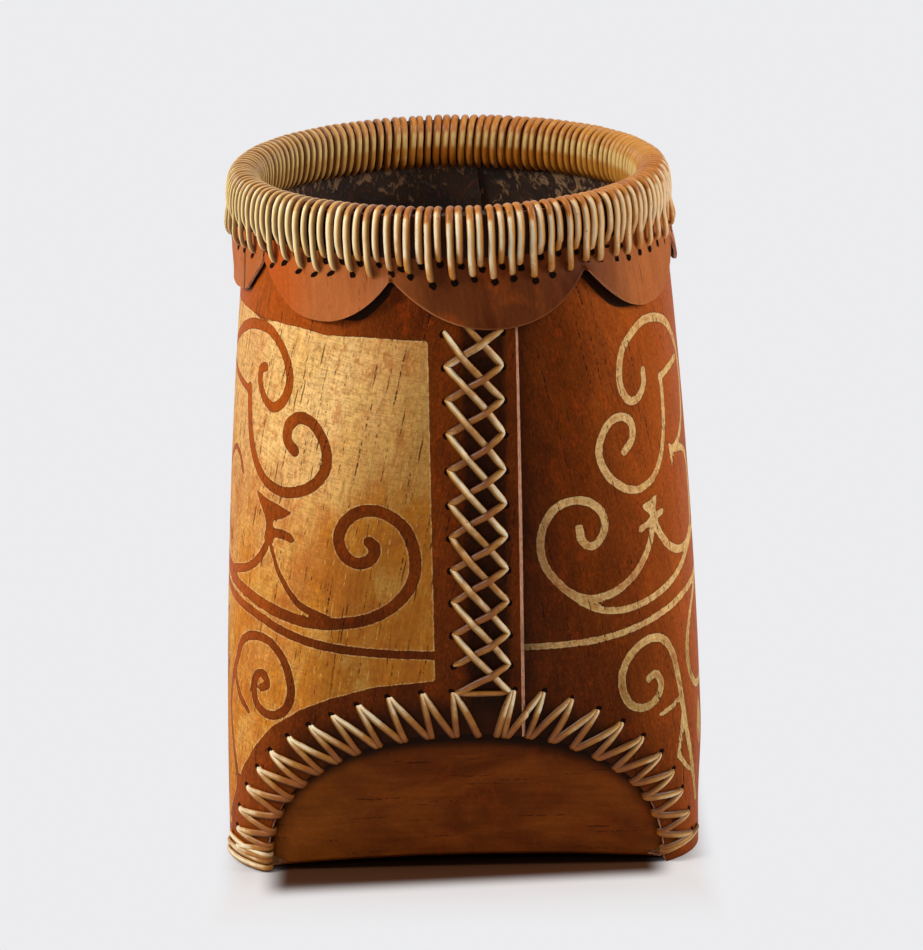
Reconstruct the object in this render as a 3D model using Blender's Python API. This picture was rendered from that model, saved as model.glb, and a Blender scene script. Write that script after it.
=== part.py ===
"""Birch bark basket: two bark wings wrapped round a square bottom, lashed and laced with split root.

Metres, +Z up, the seam in front at -Y. The basket is built twofold: its back is its front turned half round.
The skin is the outer face of the wall. A place on it is given by its arc from the middle of the front,
positive to the right, its height, and how far it stands out from the skin.
"""

import math

import bmesh
import bpy
import numpy as np
from mathutils import Matrix

# Overall size of the wall
WALL_TOP = 0.262
RIM_BAND_HEIGHT = 0.021
HALF_WIDTH_FOOT = 0.0948
HALF_WIDTH_TOP = 0.0810
BELLY = 0.0039
CORNER_RADIUS = 0.0276
ROUND_FROM = WALL_TOP - RIM_BAND_HEIGHT

# Bark
BARK = 0.0016
COLLAR_BARK = 0.0013
CLEAR = 0.0003
OVER_EDGE = 0.0236
UNDER_EDGE = 0.0120
STEP_RUN = 0.024
STEP_REST = 0.0075
WALL_COLUMNS = 38
WALL_ROWS = 9

# Arched lower edge and its stitches
FOOT_LENGTH = 0.0178
ARCH_HALF_WIDTH = HALF_WIDTH_FOOT - FOOT_LENGTH
ARCH_HEIGHT = 0.0575
ARCH_POWER = 2.3
ARCH_POINTS = 28
STITCH_LENGTH = 0.0190
ARCH_HOLE_HALF_WIDTH = ARCH_HALF_WIDTH + STITCH_LENGTH
ARCH_HOLE_HEIGHT = 0.0740
ARCH_STITCHES = 14
ARCH_FIRST_HOLE = 0.045

# Bottom with its turned-up flaps
BOTTOM_RISE_EDGE = 0.0025
BOTTOM_BOW = 0.0045
FLAP_MARGIN_LENGTH = 0.0090
FLAP_HALF_WIDTH = ARCH_HALF_WIDTH + FLAP_MARGIN_LENGTH
FLAP_HEIGHT = 0.0675
FLAP_TOP_SHARE = 0.984
FLAP_SPREAD = 2.4
FLAP_ROWS = 6
BOTTOM_ROWS = 8
BOTTOM_COLUMNS = 17

# Collar
LOBES = 8
FRONT_LOBE_MIDDLE = 0.0145
LOBE_LENGTH = 0.0430
CUSP_LENGTH = 0.0250
LOBE_BOTTOM = WALL_TOP - LOBE_LENGTH
LOBE_CUSP = WALL_TOP - CUSP_LENGTH
LOBE_POWER = 2.2
LOBE_COLUMNS = 8
COLLAR_ROWS = 3
COLLAR_END_GAP = 0.0012

# Rim hoops, split withes of flat section
HOOP_THICK = 0.0032
HOOP_HEIGHT = 0.0150
HOOP_CHAMFER = 0.0011
HOOP_SEGMENTS = 48

# Split roots
RIM_ROOT_WIDTH = 0.0032
RIM_ROOT_THICK = 0.0016
RIM_ROOTS = 6
RIM_WRAPS = 10
RIM_SLOT_HEIGHT = 0.0026
RIM_BRIDGE = math.radians(2.2)
RIM_HOLE_DROP = 0.0035
ROOT_WIDTH = 0.0027
ROOT_THICK = 0.0013
ROOT_CROWN = 0.5
PASS_GAP = 0.0006
MOUTH_LIFT = 0.0005
HOLE_ROOM = 0.0006
UNDER_DROP = 0.0022
FLAP_HOLE_ROOM = 0.0011
FLAP_CLEAR = 0.0007

# Seam lacing
SEAM_LEFT = -0.0044
SEAM_RIGHT = 0.0180
SEAM_TOP_DEPTH = 0.0490
SEAM_LOW_HEIGHT = 0.0850
SEAM_LEVELS = 11
SEAM_TAIL = 0.009

SKIN_IN = 2 * BARK + CLEAR
ROOT_LOW = CLEAR + ROOT_THICK / 2
ROOT_HIGH = ROOT_LOW + ROOT_THICK + 2 * PASS_GAP
HALF_TURN = Matrix.Rotation(math.pi, 4, "Z")


def clear_scene():
    for thing in list(bpy.data.objects):
        bpy.data.objects.remove(thing, do_unlink=True)


def material(name, colour, roughness):
    made = bpy.data.materials.new(name)
    made.use_nodes = True
    shader = made.node_tree.nodes["Principled BSDF"]
    shader.inputs["Base Color"].default_value = (*colour, 1.0)
    shader.inputs["Roughness"].default_value = roughness
    return made


def smooth(value):
    value = np.clip(value, 0.0, 1.0)
    return value * value * (3.0 - 2.0 * value)


def half_width(z):
    """Half the width of the skin at a height. The rim's band goes straight up."""
    share = np.clip(z, 0.0, ROUND_FROM) / WALL_TOP
    bulge = 4.0 * BELLY * share * (1.0 - share)
    return HALF_WIDTH_FOOT + (HALF_WIDTH_TOP - HALF_WIDTH_FOOT) * share + bulge


def corner_radius(z):
    return CORNER_RADIUS + (half_width(z) - CORNER_RADIUS) * np.clip(z / ROUND_FROM, 0.0, 1.0)


def quarter(z):
    """A quarter of the girth of the skin at a height."""
    return 2.0 * (half_width(z) - corner_radius(z)) + math.pi / 2.0 * corner_radius(z)


def on_skin(arc, z, out=0.0):
    """Points at an arc from the front's middle, a height, and a distance out from the skin."""
    arc, z, out = np.broadcast_arrays(np.asarray(arc, float), np.asarray(z, float), np.asarray(out, float))
    side = np.floor(arc / quarter(z) + 0.5)
    along = arc - side * quarter(z)
    radius = corner_radius(z)
    flat = half_width(z) - radius
    turn = np.clip(np.abs(along) - flat, 0.0, None) / radius
    across = np.where(turn > 0, flat + (radius + out) * np.sin(turn), np.abs(along)) * np.sign(along)
    depth = flat + (radius + out) * np.cos(turn)
    angle = side * math.pi / 2.0
    x = across * np.cos(angle) + depth * np.sin(angle)
    y = across * np.sin(angle) - depth * np.cos(angle)
    return np.stack([x, y, z + 0.0 * x], axis=-1)


def front_depth(x, z, out):
    """How far the front lies from the middle, at a place x across it."""
    radius = corner_radius(z)
    flat = half_width(z) - radius
    past = np.clip(np.abs(x) - flat, 0.0, None)
    return flat + np.sqrt(np.clip((radius + out) ** 2 - past**2, 0.0, None))


def add(name, mesh, slot):
    mesh.materials.clear()
    mesh.materials.append(slot)
    made = bpy.data.objects.new(name, mesh)
    bpy.context.scene.collection.objects.link(made)
    return made


def mesh_from(name, points, faces):
    work = bmesh.new()
    corners = [work.verts.new(tuple(point)) for point in points]
    for face in faces:
        work.faces.new([corners[index] for index in face])
    bmesh.ops.recalc_face_normals(work, faces=work.faces)
    mesh = bpy.data.meshes.new(name)
    work.to_mesh(mesh)
    work.free()
    return mesh


def sheet(name, face, thickness, slot):
    """A closed sheet of bark: its outer face as a grid of points, rightward and down, and one behind it."""
    down = np.gradient(face, axis=0)
    along = np.gradient(face, axis=1)
    normal = np.cross(along, down)
    normal /= np.linalg.norm(normal, axis=-1, keepdims=True)
    back = face + normal * thickness
    rows, columns = face.shape[:2]
    points = np.concatenate([face.reshape(-1, 3), back.reshape(-1, 3)])
    behind = rows * columns
    index = np.arange(behind).reshape(rows, columns)
    faces = []
    for row in range(rows - 1):
        for column in range(columns - 1):
            first, second = index[row, column : column + 2]
            third, fourth = index[row + 1, column : column + 2]
            for ring in ((first, second, fourth), (first, fourth, third)):
                faces.append(ring)
                faces.append(tuple(corner + behind for corner in reversed(ring)))
    border = [*index[0, :], *index[1:, -1], *index[-1, -2::-1], *index[-2:0:-1, 0]]
    for first, second in zip(border, border[1:] + border[:1]):
        faces.append((first, first + behind, second + behind))
        faces.append((first, second + behind, second))
    return add(name, mesh_from(name, points, faces), slot)


def half_turned(source, name):
    """The twofold partner of an object, as a mesh of its own."""
    mesh = source.data.copy()
    mesh.name = name
    mesh.transform(HALF_TURN)
    made = bpy.data.objects.new(name, mesh)
    bpy.context.scene.collection.objects.link(made)
    return made


def cutter(name, points, faces):
    made = bpy.data.objects.new(name, mesh_from(name, points, faces))
    bpy.context.scene.collection.objects.link(made)
    made.hide_render = True
    made.display_type = "WIRE"
    return made


def box_faces(start):
    ring = [(0, 1, 2, 3), (7, 6, 5, 4), (0, 4, 5, 1), (1, 5, 6, 2), (2, 6, 7, 3), (3, 7, 4, 0)]
    return [tuple(start + corner for corner in face) for face in ring]


def hole_box(spot, broad, wide, high, near, far):
    """Corners of a box square through the wall, its broad side along a direction, between two distances out."""
    step = ROOT_THICK
    middle = on_skin(*spot)
    away = on_skin(*spot, step) - middle
    away /= np.linalg.norm(away)
    ahead = on_skin(spot[0] + broad[0] * step, spot[1] + broad[1] * step) - middle
    ahead -= away * (ahead @ away)
    ahead /= np.linalg.norm(ahead)
    upright = np.cross(away, ahead)
    corners = []
    for out in (near, far):
        for side, rise in ((-1, -1), (1, -1), (1, 1), (-1, 1)):
            corners.append(middle + away * out + ahead * side * wide / 2 + upright * rise * high / 2)
    return np.array(corners)


def prism(outline, near, far):
    """A prism along Y over an outline in x and z."""
    count = len(outline)
    points = [(x, near, z) for x, z in outline] + [(x, far, z) for x, z in outline]
    faces = [tuple(range(count)), tuple(range(2 * count - 1, count - 1, -1))]
    for index in range(count):
        after = (index + 1) % count
        faces.append((index, index + count, after + count, after))
    return points, faces


def cut(thing, tool):
    step = thing.modifiers.new(tool.name, "BOOLEAN")
    step.operation = "DIFFERENCE"
    step.solver = "EXACT"
    step.object = tool


def arch_point(angle, wide, high):
    """A place on the arch's curve, by its angle from the right foot over the top to the left foot."""
    across, rise = math.cos(angle), math.sin(angle)
    x = wide * math.copysign(abs(across) ** (2 / ARCH_POWER), across)
    return x, high * abs(rise) ** (2 / ARCH_POWER)


def arch_run(wide, high, count, start):
    """Places at even steps along the arch's curve, from a share of its length to the mirrored share."""
    samples = np.array([arch_point(angle, wide, high) for angle in np.linspace(0.0, math.pi, 721)])
    run = np.concatenate([[0.0], np.cumsum(np.linalg.norm(np.diff(samples, axis=0), axis=1))])
    wanted = np.linspace(start, 1.0 - start, count) * run[-1]
    return np.stack([np.interp(wanted, run, samples[:, 0]), np.interp(wanted, run, samples[:, 1])], axis=1)


def strand(name, path, widths, wide, thick, slot):
    """A split root swept along a path, flat side inward, with its broad direction given at each point."""
    path = np.array(path)
    widths = np.array(widths)
    ahead = np.diff(path, axis=0)
    ahead /= np.linalg.norm(ahead, axis=1, keepdims=True)
    heading = np.concatenate([ahead[:1], ahead[:-1] + ahead[1:], ahead[-1:]])
    heading /= np.linalg.norm(heading, axis=1, keepdims=True)
    broad = widths - heading * np.sum(widths * heading, axis=1, keepdims=True)
    broad /= np.linalg.norm(broad, axis=1, keepdims=True)
    crown = np.cross(heading, broad)
    corners = []
    for share, rise in ((-1.0, -1.0), (1.0, -1.0), (ROOT_CROWN, 1.0), (-ROOT_CROWN, 1.0)):
        corners.append(path + broad * share * wide / 2 + crown * rise * thick / 2)
    rings = np.stack(corners, axis=1)
    count = len(path)
    faces = [(3, 2, 1, 0), tuple(4 * (count - 1) + corner for corner in range(4))]
    for index in range(count - 1):
        for corner in range(4):
            after = (corner + 1) % 4
            faces.append(
                (
                    4 * index + corner,
                    4 * index + after,
                    4 * index + 4 + after,
                    4 * index + 4 + corner,
                )
            )
    tell_gap(name, rings, wide)
    return add(name, mesh_from(name, rings.reshape(-1, 3), faces), slot)


def tell_gap(name, rings, wide):
    """Prints the least distance between places on a strand that lie far apart along it."""
    places = []
    runs = []
    so_far = 0.0
    for first, second in zip(rings[:-1], rings[1:]):
        length = np.linalg.norm(second.mean(axis=0) - first.mean(axis=0))
        steps = max(2, int(length / (wide / 4)))
        for share in np.linspace(0.0, 1.0, steps, endpoint=False):
            ring = first + (second - first) * share
            places.append(np.concatenate([ring, (ring + np.roll(ring, 1, axis=0)) / 2]))
            runs.append(so_far + length * share)
        so_far += length
    places = np.array(places)
    runs = np.array(runs)
    least = math.inf
    for index, place in enumerate(places):
        far = runs - runs[index] > 3 * wide
        if far.any():
            gaps = np.linalg.norm(places[far][:, :, None] - place[None, None], axis=-1)
            least = min(least, gaps.min())
    print(f"{name}: least gap to itself {least * 1000:.2f} mm")


def wall(name, slot):
    """The left wing: from its cut edge over the front seam, round the left side, to under the back seam."""
    z = np.append(WALL_TOP, np.linspace(ROUND_FROM, 0.0, WALL_ROWS))[:, None]
    share = np.linspace(0.0, 1.0, WALL_COLUMNS)[None, :]
    end = -(2.0 * quarter(z) + UNDER_EDGE)
    arc = OVER_EDGE + (end - OVER_EDGE) * share
    covered = OVER_EDGE + UNDER_EDGE + STEP_REST
    inset = (BARK + CLEAR) * (1.0 - smooth((arc - end - covered) / STEP_RUN))
    return sheet(name, on_skin(arc, z, -inset)[:, ::-1], BARK, slot)


def bottom(name, slot):
    """The bottom and the flaps turned up from it behind the walls, as one sheet."""
    across = np.linspace(-1.0, 1.0, BOTTOM_COLUMNS)
    reach = -(SKIN_IN + CLEAR)
    turn = BARK
    flap_top = FLAP_HEIGHT * FLAP_TOP_SHARE
    fold = BOTTOM_RISE_EDGE + turn
    flap = []
    for rise in np.linspace(flap_top, fold, FLAP_ROWS):
        arched = FLAP_HALF_WIDTH * (1.0 - (rise / FLAP_HEIGHT) ** ARCH_POWER) ** (1.0 / ARCH_POWER)
        straight = half_width(0.0) - corner_radius(0.0)
        x = across * min(arched, straight + FLAP_SPREAD * (rise - BOTTOM_RISE_EDGE))
        flap.append(np.stack([x, -front_depth(x, rise, reach), rise + 0.0 * x], axis=1))
    side = half_width(0.0) + reach
    deep = side - turn
    rows = []
    for y in deep * np.sin(np.linspace(-math.pi / 2, math.pi / 2, BOTTOM_ROWS)):
        radius = corner_radius(0.0) + reach
        past = max(0.0, abs(y) - (side - radius))
        x = across * (side - radius + math.sqrt(radius**2 - past**2))
        lift = (1.0 - (y / side) ** 2) * (1.0 - (x / side) ** 2)
        rows.append(np.stack([x, y + 0.0 * x, BOTTOM_RISE_EDGE + BOTTOM_BOW * lift], axis=1))
    back = [row[::-1] * np.array([-1.0, -1.0, 1.0]) for row in flap[::-1]]
    return sheet(name, np.array(flap + rows + back), BARK, slot)


def collar(name, slot):
    """Half of the collar: four lobes, from the cusp left of the front lobe's neighbour."""
    share = np.linspace(0.0, 1.0, LOBES // 2 * LOBE_COLUMNS + 1)[None, :]
    rows = np.linspace(0.0, 1.0, COLLAR_ROWS)[:, None]
    lobe = (share * LOBES / 2) % 1.0
    edge = LOBE_BOTTOM + (LOBE_CUSP - LOBE_BOTTOM) * np.abs(2.0 * lobe - 1.0) ** LOBE_POWER
    z = np.concatenate([WALL_TOP + 0.0 * edge, ROUND_FROM + (edge - ROUND_FROM) * rows])
    pitch = 4.0 * quarter(z) / LOBES
    start = FRONT_LOBE_MIDDLE - 1.5 * pitch + COLLAR_END_GAP / 2
    length = pitch * LOBES / 2 - COLLAR_END_GAP
    arc = start + length * share
    return sheet(name, on_skin(arc, z, CLEAR + COLLAR_BARK), COLLAR_BARK, slot)


def hoop(name, inner, slot):
    """A withe bent into a ring, of flat section with its corners taken off."""
    top, low = WALL_TOP, WALL_TOP - HOOP_HEIGHT
    outer = inner + HOOP_THICK
    section = [
        (inner, low + HOOP_CHAMFER),
        (inner + HOOP_CHAMFER, low),
        (outer - HOOP_CHAMFER, low),
        (outer, low + HOOP_CHAMFER),
        (outer, top - HOOP_CHAMFER),
        (outer - HOOP_CHAMFER, top),
        (inner + HOOP_CHAMFER, top),
        (inner, top - HOOP_CHAMFER),
    ]
    points = []
    faces = []
    count = len(section)
    for step in range(HOOP_SEGMENTS):
        angle = 2.0 * math.pi * step / HOOP_SEGMENTS
        points += [(math.sin(angle) * r, -math.cos(angle) * r, z) for r, z in section]
        here, after = step * count, (step + 1) % HOOP_SEGMENTS * count
        for corner in range(count):
            other = (corner + 1) % count
            faces.append((here + corner, here + other, after + other, after + corner))
    return add(name, mesh_from(name, points, faces), slot)


def rim_hole_height():
    return WALL_TOP - HOOP_HEIGHT - RIM_HOLE_DROP


def rim_root(name, number, inner_hoop, outer_hoop, slot):
    """One root of the rim lashing: over the top, down outside, in under the hoops, and up inside."""
    stand = CLEAR + RIM_ROOT_THICK / 2
    out = outer_hoop + HOOP_THICK + stand
    within = inner_hoop - stand
    low = rim_hole_height()
    mouth_out = half_width(low) + CLEAR + COLLAR_BARK + stand
    mouth_in = half_width(low) - SKIN_IN - stand
    sector = 2.0 * math.pi / RIM_ROOTS
    pitch = sector / RIM_WRAPS
    shoulder = WALL_TOP - HOOP_CHAMFER
    over = WALL_TOP + stand
    loop = [
        (0.00, out - HOOP_CHAMFER, over),
        (0.06, out, shoulder),
        (0.30, out, WALL_TOP - HOOP_HEIGHT),
        (0.42, mouth_out, low),
        (0.54, mouth_in, low),
        (0.66, within, WALL_TOP - HOOP_HEIGHT),
        (0.88, within, shoulder),
        (0.94, within + HOOP_CHAMFER, over),
    ]
    path = []
    widths = []
    for wrap in range(RIM_WRAPS):
        for share, radius, z in loop[1:] if wrap == 0 else loop:
            angle = (number - 0.5) * sector + (wrap + 0.5 + 0.5 * (share - 0.5)) * pitch
            path.append((math.sin(angle) * radius, -math.cos(angle) * radius, z))
            widths.append((math.cos(angle), math.sin(angle), 0.0))
    return strand(name, path, widths, RIM_ROOT_WIDTH, RIM_ROOT_THICK, slot)


def rim_slots(name):
    """The runs of awl holes for the rim roots, one run a root, through collar and wall."""
    sector = 2.0 * math.pi / RIM_ROOTS
    steps = RIM_WRAPS // 2
    low = rim_hole_height() - RIM_SLOT_HEIGHT / 2
    high = low + RIM_SLOT_HEIGHT
    near = HALF_WIDTH_TOP - SKIN_IN - HOOP_THICK
    far = half_width(WALL_TOP) + HOOP_THICK
    points = []
    faces = []
    for number in range(RIM_ROOTS):
        start = (number - 0.5) * sector + RIM_BRIDGE / 2
        stop = (number + 0.5) * sector - RIM_BRIDGE / 2
        first = len(points)
        last = first + 4 * steps
        faces += [tuple(first + corner for corner in range(4)), tuple(last + corner for corner in (3, 2, 1, 0))]
        for step in range(steps + 1):
            angle = start + (stop - start) * step / steps
            for radius, z in ((near, low), (far, low), (far, high), (near, high)):
                points.append((math.sin(angle) * radius, -math.cos(angle) * radius, z))
        for here in range(first, last, 4):
            for corner in range(4):
                after = (corner + 1) % 4
                faces.append((here + corner, here + 4 + corner, here + 4 + after, here + after))
    return cutter(name, points, faces)


def seam_levels():
    return np.linspace(WALL_TOP - SEAM_TOP_DEPTH, SEAM_LOW_HEIGHT, SEAM_LEVELS)


def seam_root(name, slot):
    """The seam's lacing: long slants down to the right, short ones to the left, upright passes inside."""
    levels = seam_levels()
    apart = (ROOT_THICK + PASS_GAP) / 2
    inside = -(SKIN_IN + ROOT_LOW + MOUTH_LIFT)
    path = []
    widths = []

    def place(arc, z, out, direction):
        path.append(on_skin(arc, z, out))
        widths.append(direction)

    def slant(start, stop, heights):
        """An outer pass from hole to hole, at given heights over the skin at its thirds."""
        run = np.array(stop) - np.array(start)
        broad = np.array([-run[1], 0.0, run[0]])
        broad *= math.copysign(1.0, broad[0]) / np.linalg.norm(run)
        place(*start, ROOT_LOW + MOUTH_LIFT, (1.0, 0.0, 0.0))
        for share, height in zip((1 / 3, 2 / 3), heights):
            place(*(np.array(start) + run * share), height, broad)
        place(*stop, ROOT_LOW + MOUTH_LIFT, (1.0, 0.0, 0.0))

    across = (1.0, 0.0, 0.0)
    place(SEAM_LEFT, levels[0] + SEAM_TAIL, inside, across)
    place(SEAM_LEFT, levels[0] - apart, inside, across)
    last = SEAM_LEVELS - 3
    for level in range(last + 1):
        left_out = (SEAM_LEFT, levels[level] - apart)
        right_in = (SEAM_RIGHT, levels[level + 2] + apart)
        right_out = (SEAM_RIGHT, levels[level + 1] - apart)
        left_in = (SEAM_LEFT, levels[level + 2] + apart)
        slant(left_out, right_in, (ROOT_HIGH, ROOT_LOW))
        place(*right_in, inside, across)
        place(*right_out, inside, across)
        slant(right_out, left_in, (ROOT_HIGH, ROOT_LOW))
        place(*left_in, inside, across)
        if level < last:
            place(SEAM_LEFT, levels[level + 1] - apart, inside, across)
    place(SEAM_LEFT, levels[-1] + apart + SEAM_TAIL, inside, across)
    return strand(name, path, widths, ROOT_WIDTH, ROOT_THICK, slot)


def arch_places():
    """Places of the arch's stitches, in the wall and under its edge, from the right foot, and the way along."""
    holes = arch_run(ARCH_HOLE_HALF_WIDTH, ARCH_HOLE_HEIGHT, ARCH_STITCHES, ARCH_FIRST_HOLE)
    edges = arch_run(ARCH_HALF_WIDTH, ARCH_HEIGHT, ARCH_STITCHES, ARCH_FIRST_HOLE)
    away = (holes - edges) / np.linalg.norm(holes - edges, axis=1, keepdims=True)
    along = np.stack([away[:, 1], -away[:, 0]], axis=1)
    return holes, edges - away * UNDER_DROP, along


def arch_root(name, slanting, slot):
    """A root that whips the arch's edge to the flap: one set of passes is square to it, the other slants."""
    holes, under, along = arch_places()
    apart = (ROOT_WIDTH + PASS_GAP) / 2
    behind = -(SKIN_IN + CLEAR + BARK + ROOT_LOW + MOUTH_LIFT + FLAP_CLEAR)
    if not slanting:
        behind -= ROOT_THICK + PASS_GAP
    shift = -apart if slanting else apart
    path = []
    widths = []

    def pass_between(start, stop, sides, height):
        for share in (0.0, 0.5, 1.0):
            spot = start + (stop - start) * share
            side = sides[0] + (sides[1] - sides[0]) * share
            path.append(on_skin(spot[0], spot[1], height))
            widths.append(np.array([side[0], 0.0, side[1]]))

    order = range(ARCH_STITCHES - 1, 0, -1) if slanting else range(ARCH_STITCHES - 1)
    for index in order:
        foot = index - 1 if slanting else index
        following = index - 1 if slanting else index + 1
        hole = holes[index] - along[index] * shift
        edge = under[foot] + along[foot] * shift
        after = holes[following] - along[following] * shift
        pass_between(hole, edge, (along[index], along[foot]), ROOT_LOW + MOUTH_LIFT)
        pass_between(edge, after, (along[foot], along[following]), behind)
    return strand(name, path, widths, ROOT_WIDTH, ROOT_THICK, slot)


def hole_cutter(name, boxes):
    points = np.concatenate(boxes)
    faces = [face for index in range(len(boxes)) for face in box_faces(8 * index)]
    return cutter(name, points, faces)


def wall_holes(name):
    """All lacing holes of both seams and both arches."""
    room = 2.0 * HOLE_ROOM
    deep = -(SKIN_IN + BARK)
    boxes = []
    high = 2.0 * ROOT_THICK + PASS_GAP + room
    levels = seam_levels()
    for spot in [(SEAM_LEFT, z) for z in levels] + [(SEAM_RIGHT, z) for z in levels[1:]]:
        boxes.append(hole_box(spot, (1.0, 0.0), ROOT_WIDTH + room, high, BARK, deep))
    holes, _, along = arch_places()
    wide = 2.0 * ROOT_WIDTH + PASS_GAP + room
    for spot, direction in zip(holes, along):
        boxes.append(hole_box(spot, direction, wide, ROOT_THICK + room, BARK, deep))
    turned = [box * np.array([-1.0, -1.0, 1.0]) for box in boxes]
    return hole_cutter(name, boxes + turned)


def flap_holes(name):
    """The holes in the flaps, just under the arched edges."""
    _, under, along = arch_places()
    room = 2.0 * FLAP_HOLE_ROOM
    wide = 2.0 * ROOT_WIDTH + PASS_GAP + room
    deep = -(SKIN_IN + 3.0 * BARK)
    boxes = []
    for spot, direction in zip(under, along):
        boxes.append(hole_box(spot, direction, wide, ROOT_THICK + room, -BARK, deep))
    turned = [box * np.array([-1.0, -1.0, 1.0]) for box in boxes]
    return hole_cutter(name, boxes + turned)


def main():
    clear_scene()
    bark = material("bark", (0.36, 0.13, 0.035), 0.6)
    bark_bottom = material("bark_bottom", (0.16, 0.06, 0.02), 0.65)
    bark_collar = material("bark_collar", (0.30, 0.10, 0.03), 0.6)
    withe = material("withe", (0.45, 0.27, 0.12), 0.7)
    root = material("root", (0.62, 0.40, 0.17), 0.55)

    outer_hoop = half_width(WALL_TOP) + 2.0 * CLEAR + COLLAR_BARK
    inner_hoop = half_width(WALL_TOP) - SKIN_IN - CLEAR - HOOP_THICK

    arch = arch_run(ARCH_HALF_WIDTH, ARCH_HEIGHT, ARCH_POINTS, 0.0)
    sunk = [(ARCH_HALF_WIDTH, -BARK), *map(tuple, arch[1:-1]), (-ARCH_HALF_WIDTH, -BARK)]
    arch_tool = cutter("cut_arch", *prism(sunk, -2.0 * HALF_WIDTH_FOOT, 2.0 * HALF_WIDTH_FOOT))
    holes_tool = wall_holes("cut_holes")
    slots_tool = rim_slots("cut_slots")

    left = wall("left_wall", bark)
    right = half_turned(left, "right_wall")
    front_collar = collar("front_collar", bark_collar)
    back_collar = half_turned(front_collar, "back_collar")
    for piece in (left, right):
        cut(piece, arch_tool)
        cut(piece, holes_tool)
    for piece in (left, right, front_collar, back_collar):
        cut(piece, slots_tool)

    cut(bottom("bottom", bark_bottom), flap_holes("cut_flaps"))
    hoop("outer_hoop", outer_hoop, withe)
    hoop("inner_hoop", inner_hoop, withe)
    for number in range(RIM_ROOTS):
        rim_root(f"rim_root_{number + 1}", number, inner_hoop, outer_hoop, root)
    half_turned(seam_root("front_seam_root", root), "back_seam_root")
    half_turned(arch_root("front_arch_root", False, root), "back_arch_root")
    half_turned(arch_root("front_slant_root", True, root), "back_slant_root")


main()
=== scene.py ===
# %% [markdown]
# # A birch bark basket
#
# This lesson dresses a plain model of a bark basket in its real looks. The model already has the right
# places and sizes, and it is loaded here as a fixed frame. Each step below first says what the piece is on
# the real basket and how it could be made, and the cells after it make it in mesh code and shader nodes.
#
# The basket is twofold: its back is its front turned half round, so most pieces are made once and turned.

# %% Load the frame and the tools
import math
import bpy
import numpy as np
from mathutils import Matrix, Vector, kdtree


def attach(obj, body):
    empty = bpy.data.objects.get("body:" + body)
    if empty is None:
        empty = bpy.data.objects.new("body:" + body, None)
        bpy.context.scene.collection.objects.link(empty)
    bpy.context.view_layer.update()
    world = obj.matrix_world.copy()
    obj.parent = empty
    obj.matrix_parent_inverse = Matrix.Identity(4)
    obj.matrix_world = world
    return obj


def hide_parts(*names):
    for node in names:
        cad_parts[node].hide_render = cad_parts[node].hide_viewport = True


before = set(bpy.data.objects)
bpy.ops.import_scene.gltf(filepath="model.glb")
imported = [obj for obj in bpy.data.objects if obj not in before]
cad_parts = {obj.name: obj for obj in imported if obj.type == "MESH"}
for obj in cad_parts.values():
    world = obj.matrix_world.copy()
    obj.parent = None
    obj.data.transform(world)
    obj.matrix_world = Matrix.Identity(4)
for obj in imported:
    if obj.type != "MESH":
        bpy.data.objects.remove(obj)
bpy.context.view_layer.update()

MM = 0.001
print("nodes in the frame:", len(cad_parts))

# %% [markdown]
# ## Measures
#
# All lengths here are in millimetres, because a bark worker thinks in them, and every piece is turned to
# metres when its mesh is made. The numbers are those of the frame, so each piece lands where it should.

# %% Measures of the walls, collar, rim and roots
WALL_TOP = 262.0
HALF_FOOT, HALF_TOP, BELLY = 94.8, 81.0, 3.9
CORNER, ROUND_FROM = 27.6, 241.0
BARK, COLLAR_BARK, CLEAR = 1.6, 1.3, 0.3
OVER_EDGE, UNDER_EDGE = 23.6, 12.0
STEP_RUN, STEP_REST = 24.0, 7.5
ARCH_WIDE, ARCH_HIGH, ARCH_POWER = 79.0, 57.5, 2.3
HOLES_WIDE, HOLES_HIGH = 96.0, 74.0
SKIN_IN = 2 * BARK + CLEAR
RIM_LEFT, RIM_LEAN_FROM, RIM_LEAN_RUN = 2.1, 222.0, 26.0
FOOT_DRAWN, DRAWN_BELOW, DRAWN_RUN, DRAWN_SHARE = 2.2, 50.0, 38.0, 0.34
SHEET_RING, FAR, MASK_REACH = 861.0, 30.0, 6.0


def half_width(z):
    share = np.clip(z, 0.0, ROUND_FROM) / WALL_TOP
    return HALF_FOOT + (HALF_TOP - HALF_FOOT) * share + 4.0 * BELLY * share * (1.0 - share)


def corner_radius(z):
    return CORNER + (half_width(z) - CORNER) * np.clip(z / ROUND_FROM, 0.0, 1.0)


def quarter(z):
    return 2.0 * (half_width(z) - corner_radius(z)) + math.pi / 2.0 * corner_radius(z)


print("girth at the foot", round(float(4 * quarter(0.0))), "mm, at the rim", round(float(4 * quarter(250.0))))

# %% [markdown]
# ## A map of the skin
#
# Bark is a flat sheet, so it is easiest to draw on it flat. A place is given by its arc from the middle of
# the front, positive to the right, its height, and how far it stands out from the skin. One function wraps
# such places round the basket, which is square at the foot and round at the rim. The right foot in front,
# and its twin behind, are drawn in a little by their stitches.

# %% From flat bark to the basket


def smooth(value):
    value = np.clip(value, 0.0, 1.0)
    return value * value * (3.0 - 2.0 * value)


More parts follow.
